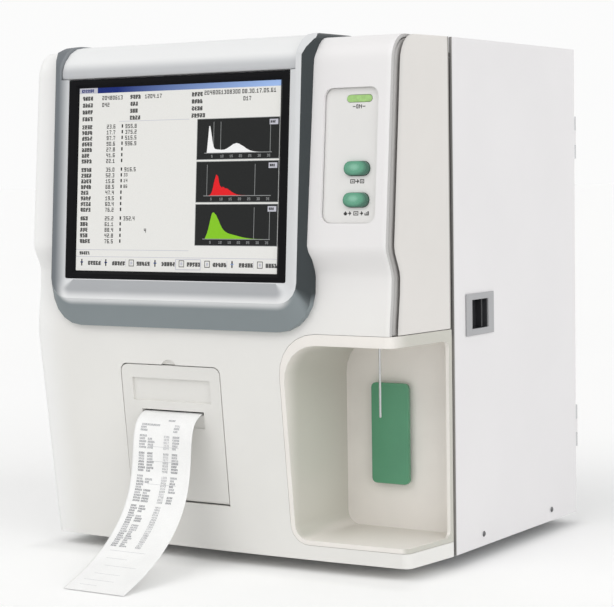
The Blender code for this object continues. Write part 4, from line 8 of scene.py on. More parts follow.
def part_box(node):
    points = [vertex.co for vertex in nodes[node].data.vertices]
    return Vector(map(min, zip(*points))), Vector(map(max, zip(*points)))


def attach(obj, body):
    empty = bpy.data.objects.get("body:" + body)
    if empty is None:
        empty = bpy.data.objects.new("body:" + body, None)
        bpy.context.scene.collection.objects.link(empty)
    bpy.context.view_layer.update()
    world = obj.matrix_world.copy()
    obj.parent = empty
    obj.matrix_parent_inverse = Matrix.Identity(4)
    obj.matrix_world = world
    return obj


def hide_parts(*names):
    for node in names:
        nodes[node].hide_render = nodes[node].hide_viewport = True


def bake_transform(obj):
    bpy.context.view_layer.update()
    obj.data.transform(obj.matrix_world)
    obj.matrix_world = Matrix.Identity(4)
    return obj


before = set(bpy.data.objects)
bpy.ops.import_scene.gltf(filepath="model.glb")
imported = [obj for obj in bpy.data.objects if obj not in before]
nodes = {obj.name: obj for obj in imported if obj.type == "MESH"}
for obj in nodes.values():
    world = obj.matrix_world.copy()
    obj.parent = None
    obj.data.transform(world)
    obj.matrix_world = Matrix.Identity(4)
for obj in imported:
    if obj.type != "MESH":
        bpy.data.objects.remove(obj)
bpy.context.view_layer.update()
print("frame loaded,", len(nodes), "pieces")

scene = bpy.context.scene


def startMaterial(name):
    material = bpy.data.materials.new(name)
    material.use_nodes = True
    tree = material.node_tree
    return material, tree, tree.nodes["Principled BSDF"]


def addNoise(tree, size, detail=2.0, roughness=0.5, stretch=(1, 1, 1)):
    spot = tree.nodes.new("ShaderNodeTexCoord")
    scale = tree.nodes.new("ShaderNodeMapping")
    scale.inputs["Scale"].default_value = stretch
    noise = tree.nodes.new("ShaderNodeTexNoise")
    noise.inputs["Scale"].default_value = 1.0 / size  # size in metres
    noise.inputs["Detail"].default_value = detail
    noise.inputs["Roughness"].default_value = roughness
    tree.links.new(spot.outputs["Object"], scale.inputs["Vector"])
    tree.links.new(scale.outputs["Vector"], noise.inputs["Vector"])
    return noise.outputs["Fac"]


def addRamp(tree, source, low, high, start=0.35, end=0.65):
    ramp = tree.nodes.new("ShaderNodeValToRGB")
    ramp.color_ramp.elements[0].position = start
    ramp.color_ramp.elements[1].position = end
    ramp.color_ramp.elements[0].color = (*low, 1)
    ramp.color_ramp.elements[1].color = (*high, 1)
    tree.links.new(source, ramp.inputs["Fac"])
    return ramp.outputs["Color"]


def addRough(tree, shader, source, low, high):
    # roughness between two values, following a noise, whose own values lie mostly between .3 and .7
    span = tree.nodes.new("ShaderNodeMapRange")
    for name, value in (("From Min", 0.3), ("From Max", 0.7), ("To Min", low), ("To Max", high)):
        span.inputs[name].default_value = value
    tree.links.new(source, span.inputs["Value"])
    tree.links.new(span.outputs["Result"], shader.inputs["Roughness"])


def addBump(tree, shader, source, height, strength):
    bump = tree.nodes.new("ShaderNodeBump")
    bump.inputs["Strength"].default_value = strength
    bump.inputs["Distance"].default_value = height
    tree.links.new(source, bump.inputs["Height"])
    tree.links.new(bump.outputs["Normal"], shader.inputs["Normal"])


def addGrain(tree, shader, look):
    # a fine grain, in the roughness and in the surface
    grain = addNoise(tree, look["grain"])
    addRough(tree, shader, grain, look["rough"] - look["roughBy"], look["rough"] + look["roughBy"])
    addBump(tree, shader, grain, look["depth"], look["bump"])


def tint(colour, share):
    return tuple(min(1.0, max(0.0, part * share)) for part in colour)


def feed(tree, sockets, values):
    # a number or a tuple is set on its socket, an output is linked to it
    for socket, value in zip(sockets, values):
        if isinstance(value, (float, tuple)):
            socket.default_value = value
        else:
            tree.links.new(value, socket)


def mathStep(tree, operation, *values):
    step = tree.nodes.new("ShaderNodeMath")
    step.operation = operation
    feed(tree, step.inputs, values)
    return step.outputs["Value"]


def vectorStep(tree, operation, *values):
    step = tree.nodes.new("ShaderNodeVectorMath")
    step.operation = operation
    feed(tree, step.inputs, values)
    return step.outputs["Value" if operation in ("DOT_PRODUCT", "LENGTH") else "Vector"]


def smoothShare(tree, source, start, end):
    span = tree.nodes.new("ShaderNodeMapRange")
    span.interpolation_type = "SMOOTHSTEP"
    span.inputs["From Min"].default_value = start
    span.inputs["From Max"].default_value = end
    tree.links.new(source, span.inputs["Value"])
    return span.outputs["Result"]


def placeShare(tree, axis, start, end):
    # 0 at the start, 1 from the end on, along an axis of the piece
    spot = tree.nodes.new("ShaderNodeTexCoord")
    split = tree.nodes.new("ShaderNodeSeparateXYZ")
    tree.links.new(spot.outputs["Object"], split.inputs["Vector"])
    return smoothShare(tree, split.outputs[axis], start, end)


def facingShare(tree, direction, start, end):
    # how far a face looks in a direction
    spot = tree.nodes.new("ShaderNodeTexCoord")
    facing = vectorStep(tree, "DOT_PRODUCT", spot.outputs["Normal"], direction)
    return smoothShare(tree, facing, start, end)


def product(tree, shares):
    whole = shares[0]
    for share in shares[1:]:
        whole = mathStep(tree, "MULTIPLY", whole, share)
    return whole


def mixed(tree, share, colour, other, blend="MIX"):
    mix = tree.nodes.new("ShaderNodeMix")
    mix.data_type = "RGBA"
    mix.blend_type = blend
    colours = [(*value, 1) if isinstance(value, tuple) else value for value in (colour, other)]
    feed(tree, (mix.inputs["Factor"], mix.inputs[6], mix.inputs[7]), (share, *colours))
    return mix.outputs[2]


def clouded(tree, colour, size, dark):
    # a broad tone drift multiplied over a colour
    cloud = addRamp(tree, addNoise(tree, size, 3.0), (dark, dark, dark), (1.0, 1.0, 1.0))
    return mixed(tree, 1.0, colour, cloud, "MULTIPLY")


def addRuns(tree, colour, look):
    # each run goes over to another colour along an axis; each side does so on faces that look one way
    for axis, start, end, other in look.get("runs", ()):
        colour = mixed(tree, placeShare(tree, axis, start, end), colour, other)
    for direction, start, end, other, places in look.get("sides", ()):
        shares = [facingShare(tree, direction, start, end)] + [placeShare(tree, *place) for place in places]
        colour = mixed(tree, product(tree, shares), colour, other)
    return colour


def cloudRamp(tree, look):
    # the colour drifts a little over a broad noise
    dark, light = (tint(look["colour"], 1 + part * look["drift"]) for part in (-1, 1))
    return addRamp(tree, addNoise(tree, look["cloud"], 3.0), dark, light)


plasticUsual = {
    "cloud": 0.06, "drift": 0.012, "grain": 0.0006, "depth": 0.00002, "bump": 0.35, "roughBy": 0.05,
    "gloss": 0.45, "coat": 0.0, "coatRough": 0.2, "soft": 0.0, "softReach": 0.004,
}


def mouldedPlastic(name, given):
    # broad tone drift, fine mould grain, roughness that follows the grain
    look = {**plasticUsual, **given}
    material, tree, shader = startMaterial(name)
    tree.links.new(addRuns(tree, cloudRamp(tree, look), look), shader.inputs["Base Color"])
    addGrain(tree, shader, look)
    shader.inputs["Specular IOR Level"].default_value = look["gloss"]
    if look["coat"]:
        shader.inputs["Coat Weight"].default_value = look["coat"]
        shader.inputs["Coat Roughness"].default_value = look["coatRough"]
    if look["soft"]:
        shader.inputs["Subsurface Weight"].default_value = look["soft"]
        shader.inputs["Subsurface Radius"].default_value = (look["softReach"],) * 3
        shader.inputs["Subsurface Scale"].default_value = 1.0
    return material


coatUsual = {
    "cloud": 0.09, "drift": 0.01, "grain": 0.0006, "depth": 0.00003, "bump": 0.4,
    "rough": 0.5, "roughBy": 0.06, "gloss": 0.4,
}


def powderCoat(name, given):
    # sprayed sheet metal: two grains over each other give the orange peel
    look = {**coatUsual, **given}
    material, tree, shader = startMaterial(name)
    tree.links.new(addRuns(tree, cloudRamp(tree, look), look), shader.inputs["Base Color"])
    fine = addNoise(tree, look["grain"])
    peel = addNoise(tree, look["grain"] * 4, 1.0)
    addRough(tree, shader, fine, look["rough"] - look["roughBy"], look["rough"] + look["roughBy"])
    addBump(tree, shader, mathStep(tree, "ADD", fine, peel), look["depth"], look["bump"])
    shader.inputs["Specular IOR Level"].default_value = look["gloss"]
    return material


metalUsual = {
    "drawn": 0.04,  # the grain's scale along its own axis
    "dark": 0.93, "light": 1.05, "smoother": 0.08, "rougher": 0.10, "depth": 0.00001, "bump": 0.3,
}


def brushedMetal(name, given):
    # grain drawn out along one axis
    look = {**metalUsual, **given}
    material, tree, shader = startMaterial(name)
    stretch = tuple(look["drawn"] if axis == look["along"] else 1 for axis in "xyz")
    lines = addNoise(tree, look["grain"], 3.0, 0.6, stretch)
    colour = addRamp(tree, lines, tint(look["colour"], look["dark"]), tint(look["colour"], look["light"]))
    tree.links.new(colour, shader.inputs["Base Color"])
    addRough(tree, shader, lines, look["rough"] - look["smoother"], look["rough"] + look["rougher"])
    addBump(tree, shader, lines, look["depth"], look["bump"])
    shader.inputs["Metallic"].default_value = 1.0
    return material


zincLook = {
    "colour": (0.60, 0.61, 0.62), "dark": 0.92, "light": 1.06, "spangle": 0.007,
    "rough": 0.42, "smoother": 0.06, "rougher": 0.08, "grain": 0.0008, "depth": 0.00001, "bump": 0.3,
}


def zincSheet(look):
    # spangled plating, one tone to each crystal
    material, tree, shader = startMaterial("zincPlate")
    spot = tree.nodes.new("ShaderNodeTexCoord")
    cells = tree.nodes.new("ShaderNodeTexVoronoi")
    cells.inputs["Scale"].default_value = 1 / look["spangle"]
    tree.links.new(spot.outputs["Object"], cells.inputs["Vector"])
    tone = tree.nodes.new("ShaderNodeSeparateColor")
    tree.links.new(cells.outputs["Color"], tone.inputs["Color"])
    dark, light = tint(look["colour"], look["dark"]), tint(look["colour"], look["light"])
    tree.links.new(addRamp(tree, tone.outputs["Red"], dark, light, 0.1, 0.9), shader.inputs["Base Color"])
    low, high = look["rough"] - look["smoother"], look["rough"] + look["rougher"]
    addRough(tree, shader, tone.outputs["Green"], low, high)
    addBump(tree, shader, addNoise(tree, look["grain"]), look["depth"], look["bump"])
    shader.inputs["Metallic"].default_value = 1.0
    return material


# runs: axis, where the other colour starts and is full, that colour
# sides: direction, facing where it starts and is full, that colour, and the places that it keeps to
finishes = {
    "fasciaWhite": {
        "colour": (0.815, 0.805, 0.775), "rough": 0.40, "grain": 0.0007, "coat": 0.10,
        # the second run lightens the far left of the front: painted light falling from the left
        "runs": [("Z", 0.15, 0.28, (0.815, 0.80, 0.80)), ("X", -0.135, -0.170, (0.90, 0.90, 0.89))],
        # the wall of the groove beside the column is darker: painted shade in the groove
        "sides": [((1, 0, 0), 0.60, 1.00, (0.55, 0.54, 0.53), [("X", 0.150, 0.158), ("Z", 0.180, 0.190)])],
    },
    "plateWhite": {
        "colour": (0.78, 0.77, 0.755), "rough": 0.36, "coat": 0.15,
        # faces of the plate that look up and to the left are darker: painted shade along its rim
        "sides": [((-0.7, 0, 0.7), 0.25, 0.60, (0.40, 0.39, 0.385), [])],
    },
    "cheekWhite": {
        "colour": (0.735, 0.71, 0.68), "rough": 0.42, "grain": 0.0007, "coat": 0.10,
        # both runs are painted shade: darker at the rear edge by the door's seam, and darker on the floor of
        # the groove beside the column
        "runs": [("Y", -0.0200, -0.0180, (0.20, 0.19, 0.175)), ("X", 0.1704, 0.1690, (0.50, 0.485, 0.47))],
    },
    "bayWhite": {
        "colour": (0.87, 0.835, 0.79), "rough": 0.38, "grain": 0.0008, "coat": 0.15, "drift": 0.015,
        "cloud": 0.03,
        # the bay's left wall and its floor are darker: painted shade inside the bay
        "sides": [((1, 0, 0), 0.10, 0.75, (0.57, 0.56, 0.50), [("Y", -0.103, -0.075)]),
                  ((0, 0, 1), 0.40, 0.90, (0.69, 0.66, 0.61), [("Z", 0.060, 0.050), ("Y", -0.095, -0.020)])],
    },
    "doorPlastic": {"colour": (0.77, 0.76, 0.73), "rough": 0.42},
    "capGrey": {
        "colour": (0.52, 0.53, 0.545), "rough": 0.38, "grain": 0.0005, "depth": 0.000015, "coat": 0.1,
        # the cap runs from a darker lower edge up to a light top: painted shade and painted light where it
        # rolls over
        "runs": [("Z", 0.3900, 0.3995, (0.80, 0.805, 0.805))],
    },
    "maskBlack": {
        "colour": (0.006, 0.006, 0.007), "rough": 0.45, "grain": 0.0004, "depth": 0.00001, "drift": 0.10,
        "gloss": 0.06,
    },
    "darkPlastic": {"colour": (0.022, 0.022, 0.025), "rough": 0.5, "grain": 0.0004, "drift": 0.12},
    "latchGrey": {
        "colour": (0.40, 0.40, 0.41), "rough": 0.42, "grain": 0.0004, "depth": 0.000015, "drift": 0.02,
        # the latch frame's faces inside its recess are near black: painted shade in the recess
        "sides": [((-1, 0, 0), -0.9, -0.5, (0.05, 0.05, 0.055), [("X", 0.1757, 0.1750)])],
    },
    "keyGreen": {
        "colour": (0.085, 0.30, 0.165), "rough": 0.33, "grain": 0.0005, "depth": 0.000015, "coat": 0.35,
        "coatRough": 0.15, "drift": 0.05, "soft": 0.1,
    },
    "lampGreen": {
        "colour": (0.36, 0.60, 0.20), "rough": 0.3, "grain": 0.0012, "depth": 0.00004, "coat": 0.4,
        "drift": 0.10, "cloud": 0.003, "soft": 0.2,
    },
    "whiteNylon": {"colour": (0.78, 0.78, 0.74), "rough": 0.4, "soft": 0.15},
}
coats = {
    # the door's front edge by the seam is darker: painted shade in the gap
    "doorWhite": {"colour": (0.80, 0.785, 0.79), "runs": [("Y", -0.0124, -0.0134, (0.30, 0.29, 0.28))]},
    "coverWhite": {"colour": (0.79, 0.79, 0.79)},
    "motorBlack": {"colour": (0.03, 0.03, 0.032), "rough": 0.45, "grain": 0.0005},
}
metals = {
    "groundSteel": {"colour": (0.62, 0.63, 0.64), "rough": 0.28, "grain": 0.0006, "along": "z"},
    "darkScrew": {"colour": (0.16, 0.16, 0.165), "rough": 0.40, "grain": 0.0005, "along": "x"},
    "castAluminium": {"colour": (0.66, 0.67, 0.68), "rough": 0.42, "grain": 0.0010, "along": "y"},
}

paint = {name: mouldedPlastic(name, look) for name, look in finishes.items()}
paint.update({name: powderCoat(name, look) for name, look in coats.items()})
paint.update({name: brushedMetal(name, look) for name, look in metals.items()})
paint["zincPlate"] = zincSheet(zincLook)


rubberLook = {
    "dark": (0.018, 0.018, 0.019), "light": (0.045, 0.045, 0.046), "dust": 0.004, "rough": (0.7, 0.88),
    "grain": 0.0005, "depth": 0.00004, "bump": 0.5,
}


def rubberMaterial(look):
    material, tree, shader = startMaterial("blackRubber")
    dust = addNoise(tree, look["dust"], 4.0, 0.7)
    tree.links.new(addRamp(tree, dust, look["dark"], look["light"]), shader.inputs["Base Color"])
    addRough(tree, shader, dust, *look["rough"])
    addBump(tree, shader, addNoise(tree, look["grain"]), look["depth"], look["bump"])
    return material


acrylicLook = {
    "dark": (0.86, 0.90, 0.92), "light": (0.93, 0.96, 0.97), "haze": 0.01, "rough": (0.05, 0.12),
    "through": 0.9, "bend": 1.49,
}


def clearMaterial(look):
    # acrylic: a faint haze keeps it readable against the sheet metal
    material, tree, shader = startMaterial("clearAcrylic")
    haze = addNoise(tree, look["haze"], 3.0)
    tree.links.new(addRamp(tree, haze, look["dark"], look["light"]), shader.inputs["Base Color"])
    addRough(tree, shader, haze, *look["rough"])
    shader.inputs["Transmission Weight"].default_value = look["through"]
    shader.inputs["IOR"].default_value = look["bend"]
    return material


boardLook = {
    "resist": (0.012, 0.13, 0.045), "resistPale": (0.018, 0.16, 0.06), "track": (0.05, 0.28, 0.12),
    "long": 0.011, "pitch": 0.0021, "trackWide": 0.0003,
    "rough": (0.25, 0.38), "grain": 0.0015, "depth": 0.00003, "bump": 0.4,
}


def boardMaterial(look):
    # solder resist over copper: tracks show as a slightly lighter green grid
    material, tree, shader = startMaterial("circuitGreen")
    spot = tree.nodes.new("ShaderNodeTexCoord")
    tracks = tree.nodes.new("ShaderNodeTexBrick")
    for name, value in (("Scale", 1.0), ("Brick Width", look["long"]), ("Row Height", look["pitch"]),
                        ("Mortar Size", look["trackWide"]), ("Color1", (*look["resist"], 1)),
                        ("Color2", (*look["resistPale"], 1)), ("Mortar", (*look["track"], 1))):
        tracks.inputs[name].default_value = value
    turn = tree.nodes.new("ShaderNodeMapping")
    turn.inputs["Rotation"].default_value = (math.radians(90), 0, math.radians(90))
    tree.links.new(spot.outputs["Object"], turn.inputs["Vector"])
    tree.links.new(turn.outputs["Vector"], tracks.inputs["Vector"])
    tree.links.new(tracks.outputs["Color"], shader.inputs["Base Color"])
    addRough(tree, shader, addNoise(tree, look["grain"]), *look["rough"])
    addBump(tree, shader, tracks.outputs["Fac"], look["depth"], look["bump"])
    return material


keyCapLook = {
    # over the key's own green: a painted highlight towards the upper left and painted shade at the rim
    "paintedHighlight": (0.22, 0.50, 0.36), "middle": (0.10, 0.34, 0.215), "rim": (0.030, 0.125, 0.080),
    "centre": (0.42, 0.0, 0.60), "squeeze": (1.0, 0.0, 0.90),  # the highlight, in shares of the key's box
    "highlightFade": (0.05, 0.30), "rimFade": (0.30, 0.56),
    "cloud": 0.004, "dark": 0.96, "grain": 0.0004, "depth": 0.00001, "bump": 0.35,
    "rough": 0.26, "roughBy": 0.05, "coat": 0.4, "coatRough": 0.12,
}


def keyCapMaterial(look):
    # glossy moulded key: a painted highlight and a painted rim shade over its green, placed by the key's own
    # box
    material, tree, shader = startMaterial("buttonGreen")
    spot = tree.nodes.new("ShaderNodeTexCoord")
    off = vectorStep(tree, "SUBTRACT", spot.outputs["Generated"], look["centre"])
    off = vectorStep(tree, "LENGTH", vectorStep(tree, "MULTIPLY", off, look["squeeze"]))
    colour = mixed(tree, smoothShare(tree, off, *look["highlightFade"]), look["paintedHighlight"], look["middle"])
    colour = mixed(tree, smoothShare(tree, off, *look["rimFade"]), colour, look["rim"])
    tree.links.new(clouded(tree, colour, look["cloud"], look["dark"]), shader.inputs["Base Color"])
    addGrain(tree, shader, look)
    shader.inputs["Coat Weight"].default_value = look["coat"]
    shader.inputs["Coat Roughness"].default_value = look["coatRough"]
    return material


paint["buttonGreen"] = keyCapMaterial(keyCapLook)
paint["blackRubber"] = rubberMaterial(rubberLook)
paint["clearAcrylic"] = clearMaterial(acrylicLook)
paint["circuitGreen"] = boardMaterial(boardLook)
print("materials made,", len(paint))


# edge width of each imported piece, under its finish
dressing = {
    "fasciaWhite": {"front_fascia": 0.0008},
    "cheekWhite": {"side_cheek": 0.0006},
    "bayWhite": {"bay_insert": 0.0006},
    "doorPlastic": {"printer_door": 0.0003},
    "plateWhite": {"control_plate": 0.0004},
    "capGrey": {"screen_bezel": 0.0012, "bezel_cap": 0.0005},
    "maskBlack": {"lcd_panel": 0.0003},
    "keyGreen": {"aspirate_key": 0.0005},
    "buttonGreen": {"print_button": 0.0014, "run_button": 0.0014},
    "lampGreen": {"lamp_lens": 0.0003},
    "coverWhite": {"top_cover": 0.0004, "rear_panel": 0.0003},
    "doorWhite": {"side_door": 0.0004},
    "latchGrey": {"latch_frame": 0.0003},
    "zincPlate": {
        "screen_bracket": 0.0002, "base_tray": 0.0002, "front_frame": 0.0002, "partition": 0.0002,
        "bath_shelf": 0.0002, "door_rail": 0.0002,
    },
    "groundSteel": {
        "hinge_lower": 0.0002, "hinge_upper": 0.0002, "sample_probe": 0.0001, "lead_screw": 0.0001,
    },
    "darkScrew": {"door_screw_front": 0.0002, "door_screw_rear": 0.0002},
    "castAluminium": {"thermal_head": 0.0002, "probe_guide": 0.0003, "power_supply": 0.0003},
    "circuitGreen": {"key_board": 0.0001, "main_board": 0.0002},
    "darkPlastic": {
        "aspirate_switch": 0.0002, "door_latch": 0.0003, "printer_frame": 0.0002, "fan_housing": 0.0003,
        "fan_rotor": 0.0002, "power_inlet": 0.0003, "power_rocker": 0.0003, "data_port_block": 0.0003,
    },
    "blackRubber": {
        "foot_front_left": 0.0005, "foot_front_right": 0.0005, "foot_rear_left": 0.0005,
        "foot_rear_right": 0.0005, "platen_roller": 0.0002,
    },
    "whiteNylon": {
        "platen_gear": 0.0001, "roll_spindle": 0.0003, "probe_carriage": 0.0003, "valve_bank": 0.0003,
        "syringe_plunger": 0.0003, "fluid_port_plate": 0.0003,
    },
    "clearAcrylic": {"wash_block": 0.0003, "wbc_bath": 0.0003, "rbc_bath": 0.0003, "syringe_barrel": 0.0002},
    "motorBlack": {"probe_motor": 0.0004, "vacuum_pump": 0.0004},
}


edgeUsual = {"weld": 0.000004, "segments": 2, "angle": 32, "weight": 60}


def setFinish(piece, material):
    if piece.material_slots:
        piece.material_slots[0].material = material
    else:
        piece.data.materials.append(material)


def softenEdges(piece, width, look=edgeUsual):
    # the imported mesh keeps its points: welding, edge rounding and shading are modifiers
    mesh = piece.data
    for name in ("custom_normal", "sharp_edge"):
        if name in mesh.attributes:
            mesh.attributes.remove(mesh.attributes[name])
    mesh.polygons.foreach_set("use_smooth", [True] * len(mesh.polygons))
    weld = piece.modifiers.new("weld", "WELD")
    weld.merge_threshold = look["weld"]
    rounding = piece.modifiers.new("rounding", "BEVEL")
    rounding.width = width
    rounding.segments = look["segments"]
    rounding.limit_method = "ANGLE"
    rounding.angle_limit = math.radians(look["angle"])
    rounding.use_clamp_overlap = True
    shading = piece.modifiers.new("shading", "WEIGHTED_NORMAL")
    shading.weight = look["weight"]
    shading.keep_sharp = True


for finish, widths in dressing.items():
    for name, width in widths.items():
        setFinish(nodes[name], paint[finish])
        softenEdges(nodes[name], width)


# each fade is where a change starts and where it is full
bezelLook = {
    "low": (-0.1205, 0.0, 0.2245), "high": (0.0753, 0.0, 0.50),  # the screen's window, open at the top
    # tones that change with how a face meets the light: a painted highlight on the bottom bar's crest and on
    # the top of its outer slope, painted shade on its inner slope, on the side and under slopes and on the
    # left leg's outer edge
    "crest": (0.71, 0.72, 0.73), "barCrestHighlight": (0.80, 0.805, 0.81), "barFacing": (0.35, 0.95),
    "barInsideShade": (0.42, 0.43, 0.445), "insideReach": (0.0150, 0.0075),  # metres from the window
    "leftSlopeShade": (0.175, 0.19, 0.205), "leftPlace": (-0.1262, -0.1385),
    "sideSlopeShade": (0.055, 0.063, 0.066), "slopeFacing": (0.06, 0.26),
    "underSlopeShade": (0.257, 0.290, 0.302), "underFacing": (0.10, 0.32),
    "underTopHighlight": (0.74, 0.75, 0.76), "topReach": (0.0210, 0.0155),
    "cloud": 0.05, "dark": 0.975, "grain": 0.0005, "depth": 0.000015, "bump": 0.35,
    "rough": 0.36, "roughBy": 0.05, "gloss": 0.04,
}


def bezelMaterial(look):
    # silver crest and inner slopes, darker outer slopes: how far a face looks away from the window parts
    # them; over that two-tone paint, tones set by facing and place are painted light and shade
    material, tree, shader = startMaterial("bezelPaintAndPaintedShade")
    spot = tree.nodes.new("ShaderNodeTexCoord")
    nearest = vectorStep(tree, "MINIMUM", spot.outputs["Object"], look["high"])
    nearest = vectorStep(tree, "MAXIMUM", nearest, look["low"])
    reach = vectorStep(tree, "SUBTRACT", spot.outputs["Object"], nearest)
    reach = vectorStep(tree, "MULTIPLY", reach, (1.0, 0.0, 1.0))
    length = vectorStep(tree, "LENGTH", reach)
    away = vectorStep(tree, "NORMALIZE", reach)
    outward = vectorStep(tree, "DOT_PRODUCT", away, spot.outputs["Normal"])
    downward = vectorStep(tree, "DOT_PRODUCT", away, (0.0, 0.0, -1.0))

    below = smoothShare(tree, downward, *look["barFacing"])
    inside = product(tree, [below, smoothShare(tree, length, *look["insideReach"])])
    crest = mixed(tree, below, look["crest"], look["barCrestHighlight"])
    crest = mixed(tree, inside, crest, look["barInsideShade"])
    crest = mixed(tree, placeShare(tree, "X", *look["leftPlace"]), crest, look["leftSlopeShade"])

    under = facingShare(tree, (0, 0, -1), *look["underFacing"])
    top = product(tree, [below, smoothShare(tree, length, *look["topReach"])])
    slope = mixed(tree, under, look["sideSlopeShade"], look["underSlopeShade"])
    slope = mixed(tree, top, slope, look["underTopHighlight"])

    colour = mixed(tree, smoothShare(tree, outward, *look["slopeFacing"]), crest, slope)
    tree.links.new(clouded(tree, colour, look["cloud"], look["dark"]), shader.inputs["Base Color"])
    addGrain(tree, shader, look)
    shader.inputs["Specular IOR Level"].default_value = look["gloss"]
    return material


setFinish(nodes["screen_bezel"], bezelMaterial(bezelLook))
print("packed pieces dressed,", sum(len(widths) for widths in dressing.values()))


def buildMesh(name, points, faces, groups, materials):
    mesh = bpy.data.meshes.new(name)
    mesh.from_pydata(points, [], faces)
    for material in materials:
        mesh.materials.append(material)
    mesh.polygons.foreach_set("material_index", groups)
    mesh.update()
    piece = bpy.data.objects.new(name, mesh)
    scene.collection.objects.link(piece)
    return piece


digitRows = (
    ("111", "101", "101", "101", "111"), ("010", "110", "010", "010", "111"),
    ("111", "001", "111", "100", "111"), ("111", "001", "011", "001", "111"),
    ("101", "101", "111", "001", "001"), ("111", "100", "111", "001", "111"),
    ("111", "100", "111", "101", "111"), ("111", "001", "010", "010", "010"),
    ("111", "101", "111", "101", "111"), ("111", "101", "111", "001", "111"),
)


def numberRuns(text):
    # plain figures on a three by five grid, each row of dots joined into runs
    runs = []
    column = 0
    for letter in text:
        if letter == ".":
            runs.append((column, 4, 1))
            column += 2
            continue
        for row, dots in enumerate(digitRows[int(letter)]):
            start = None
            for index, dot in enumerate(dots + "0"):
                if dot == "1" and start is None:
                    start = index
                if dot == "0" and start is not None:
                    runs.append((column + start, row, index - start))
                    start = None
        column += 4
    return runs


def barRuns(count, maker):
    # a stand-in for words: blank blocks with no letters in them
    runs = []
    column = 0
    for _ in range(count):
        for row in range(5):
            wide = maker.choice((2, 3, 3))
            runs.append((column + maker.choice((0, 3 - wide)), row, wide + 0.5))
        column += 4
    return runs


screenPage = {
    "corner": (-0.0226, -0.1065473, 0.2314291),  # middle of the lower edge, on the floor of the recess
    "lean": 4.1, "wide": 0.1948, "tall": 0.1469, "margin": 0.0002,
    "lift": 0.00008, "step": 0.00003,  # off the recess, and from level to level
    "dot": 0.00066, "rule": 0.0004, "fill": 0.86,
    "rows": 20, "pitch": 0.0312, "gap": 0.016, "seed": 7,
    "gapRows": (7, 15), "wideRows": (0, 1, 2, 3, 7, 15), "smallRows": (8, 9, 10),
    "grain": 0.0003, "rough": (0.22, 0.34), "gloss": 0.12,
    "barDeep": (0.008, 0.022, 0.16), "barPale": (0.33, 0.48, 0.80), "barFade": (-0.30, 0.50), "barGlow": 0.12,
    # name, colour and glow of each ink; the title bar has a material of its own
    "inks": {
        "page": ("pageWhite", (0.765, 0.76, 0.735), 0.06), "title": None,
        "ink": ("pageInk", (0.012, 0.012, 0.012), 0.01),
        "chart": ("chartGround", (0.018, 0.019, 0.019), 0.01),
        "line": ("chartLine", (0.28, 0.29, 0.29), 0.05), "white": ("chartWhite", (0.86, 0.86, 0.86), 0.06),
        "red": ("chartRed", (0.70, 0.015, 0.02), 0.10), "green": ("chartGreen", (0.22, 0.52, 0.02), 0.10),
        "soft": ("pageSoft", (0.52, 0.52, 0.58), 0.08),
    },
    "figures": ((0.120, 0.046, "20480613"), (0.120, 0.0835, "042"), (0.340, 0.046, "1204.17"),
                (0.636, 0.040, "2048061308300"), (0.818, 0.040, "08.30.17.05.61"), (0.824, 0.0775, "017")),
}
chartLook = {
    "left": 0.604, "right": 0.999, "foot": 0.17, "inset": 0.05, "taken": 0.085, "reach": 0.72,
    "steps": 64, "end": 0.95, "marks": 7,
}


def pageMaterial(look, name, colour, glow):
    # fine grain over the colour, and a little light of its own
    material, tree, shader = startMaterial(name)
    fine = addNoise(tree, look["grain"], 1.0)
    shade = addRamp(tree, fine, tint(colour, 0.97), tint(colour, 1.02))
    tree.links.new(shade, shader.inputs["Base Color"])
    addRough(tree, shader, fine, *look["rough"])
    tree.links.new(shade, shader.inputs["Emission Color"])
    shader.inputs["Emission Strength"].default_value = glow
    shader.inputs["Specular IOR Level"].default_value = look["gloss"]
    return material


def titleMaterial(look):
    # deep blue running out to pale blue along the bar
    material, tree, shader = startMaterial("titleBlue")
    spot = tree.nodes.new("ShaderNodeTexCoord")
    split = tree.nodes.new("ShaderNodeSeparateXYZ")
    tree.links.new(spot.outputs["Object"], split.inputs["Vector"])
    span = tree.nodes.new("ShaderNodeMapRange")
    for name, share in zip(("From Min", "From Max"), look["barFade"]):
        span.inputs[name].default_value = look["corner"][0] + look["wide"] * share
    tree.links.new(split.outputs["X"], span.inputs["Value"])
    shade = addRamp(tree, span.outputs["Result"], look["barDeep"], look["barPale"], 0.0, 1.0)
    tree.links.new(shade, shader.inputs["Base Color"])
    tree.links.new(shade, shader.inputs["Emission Color"])
    shader.inputs["Emission Strength"].default_value = look["barGlow"]
    shader.inputs["Specular IOR Level"].default_value = look["gloss"]
    addRough(tree, shader, addNoise(tree, look["grain"]), *look["rough"])
    return material


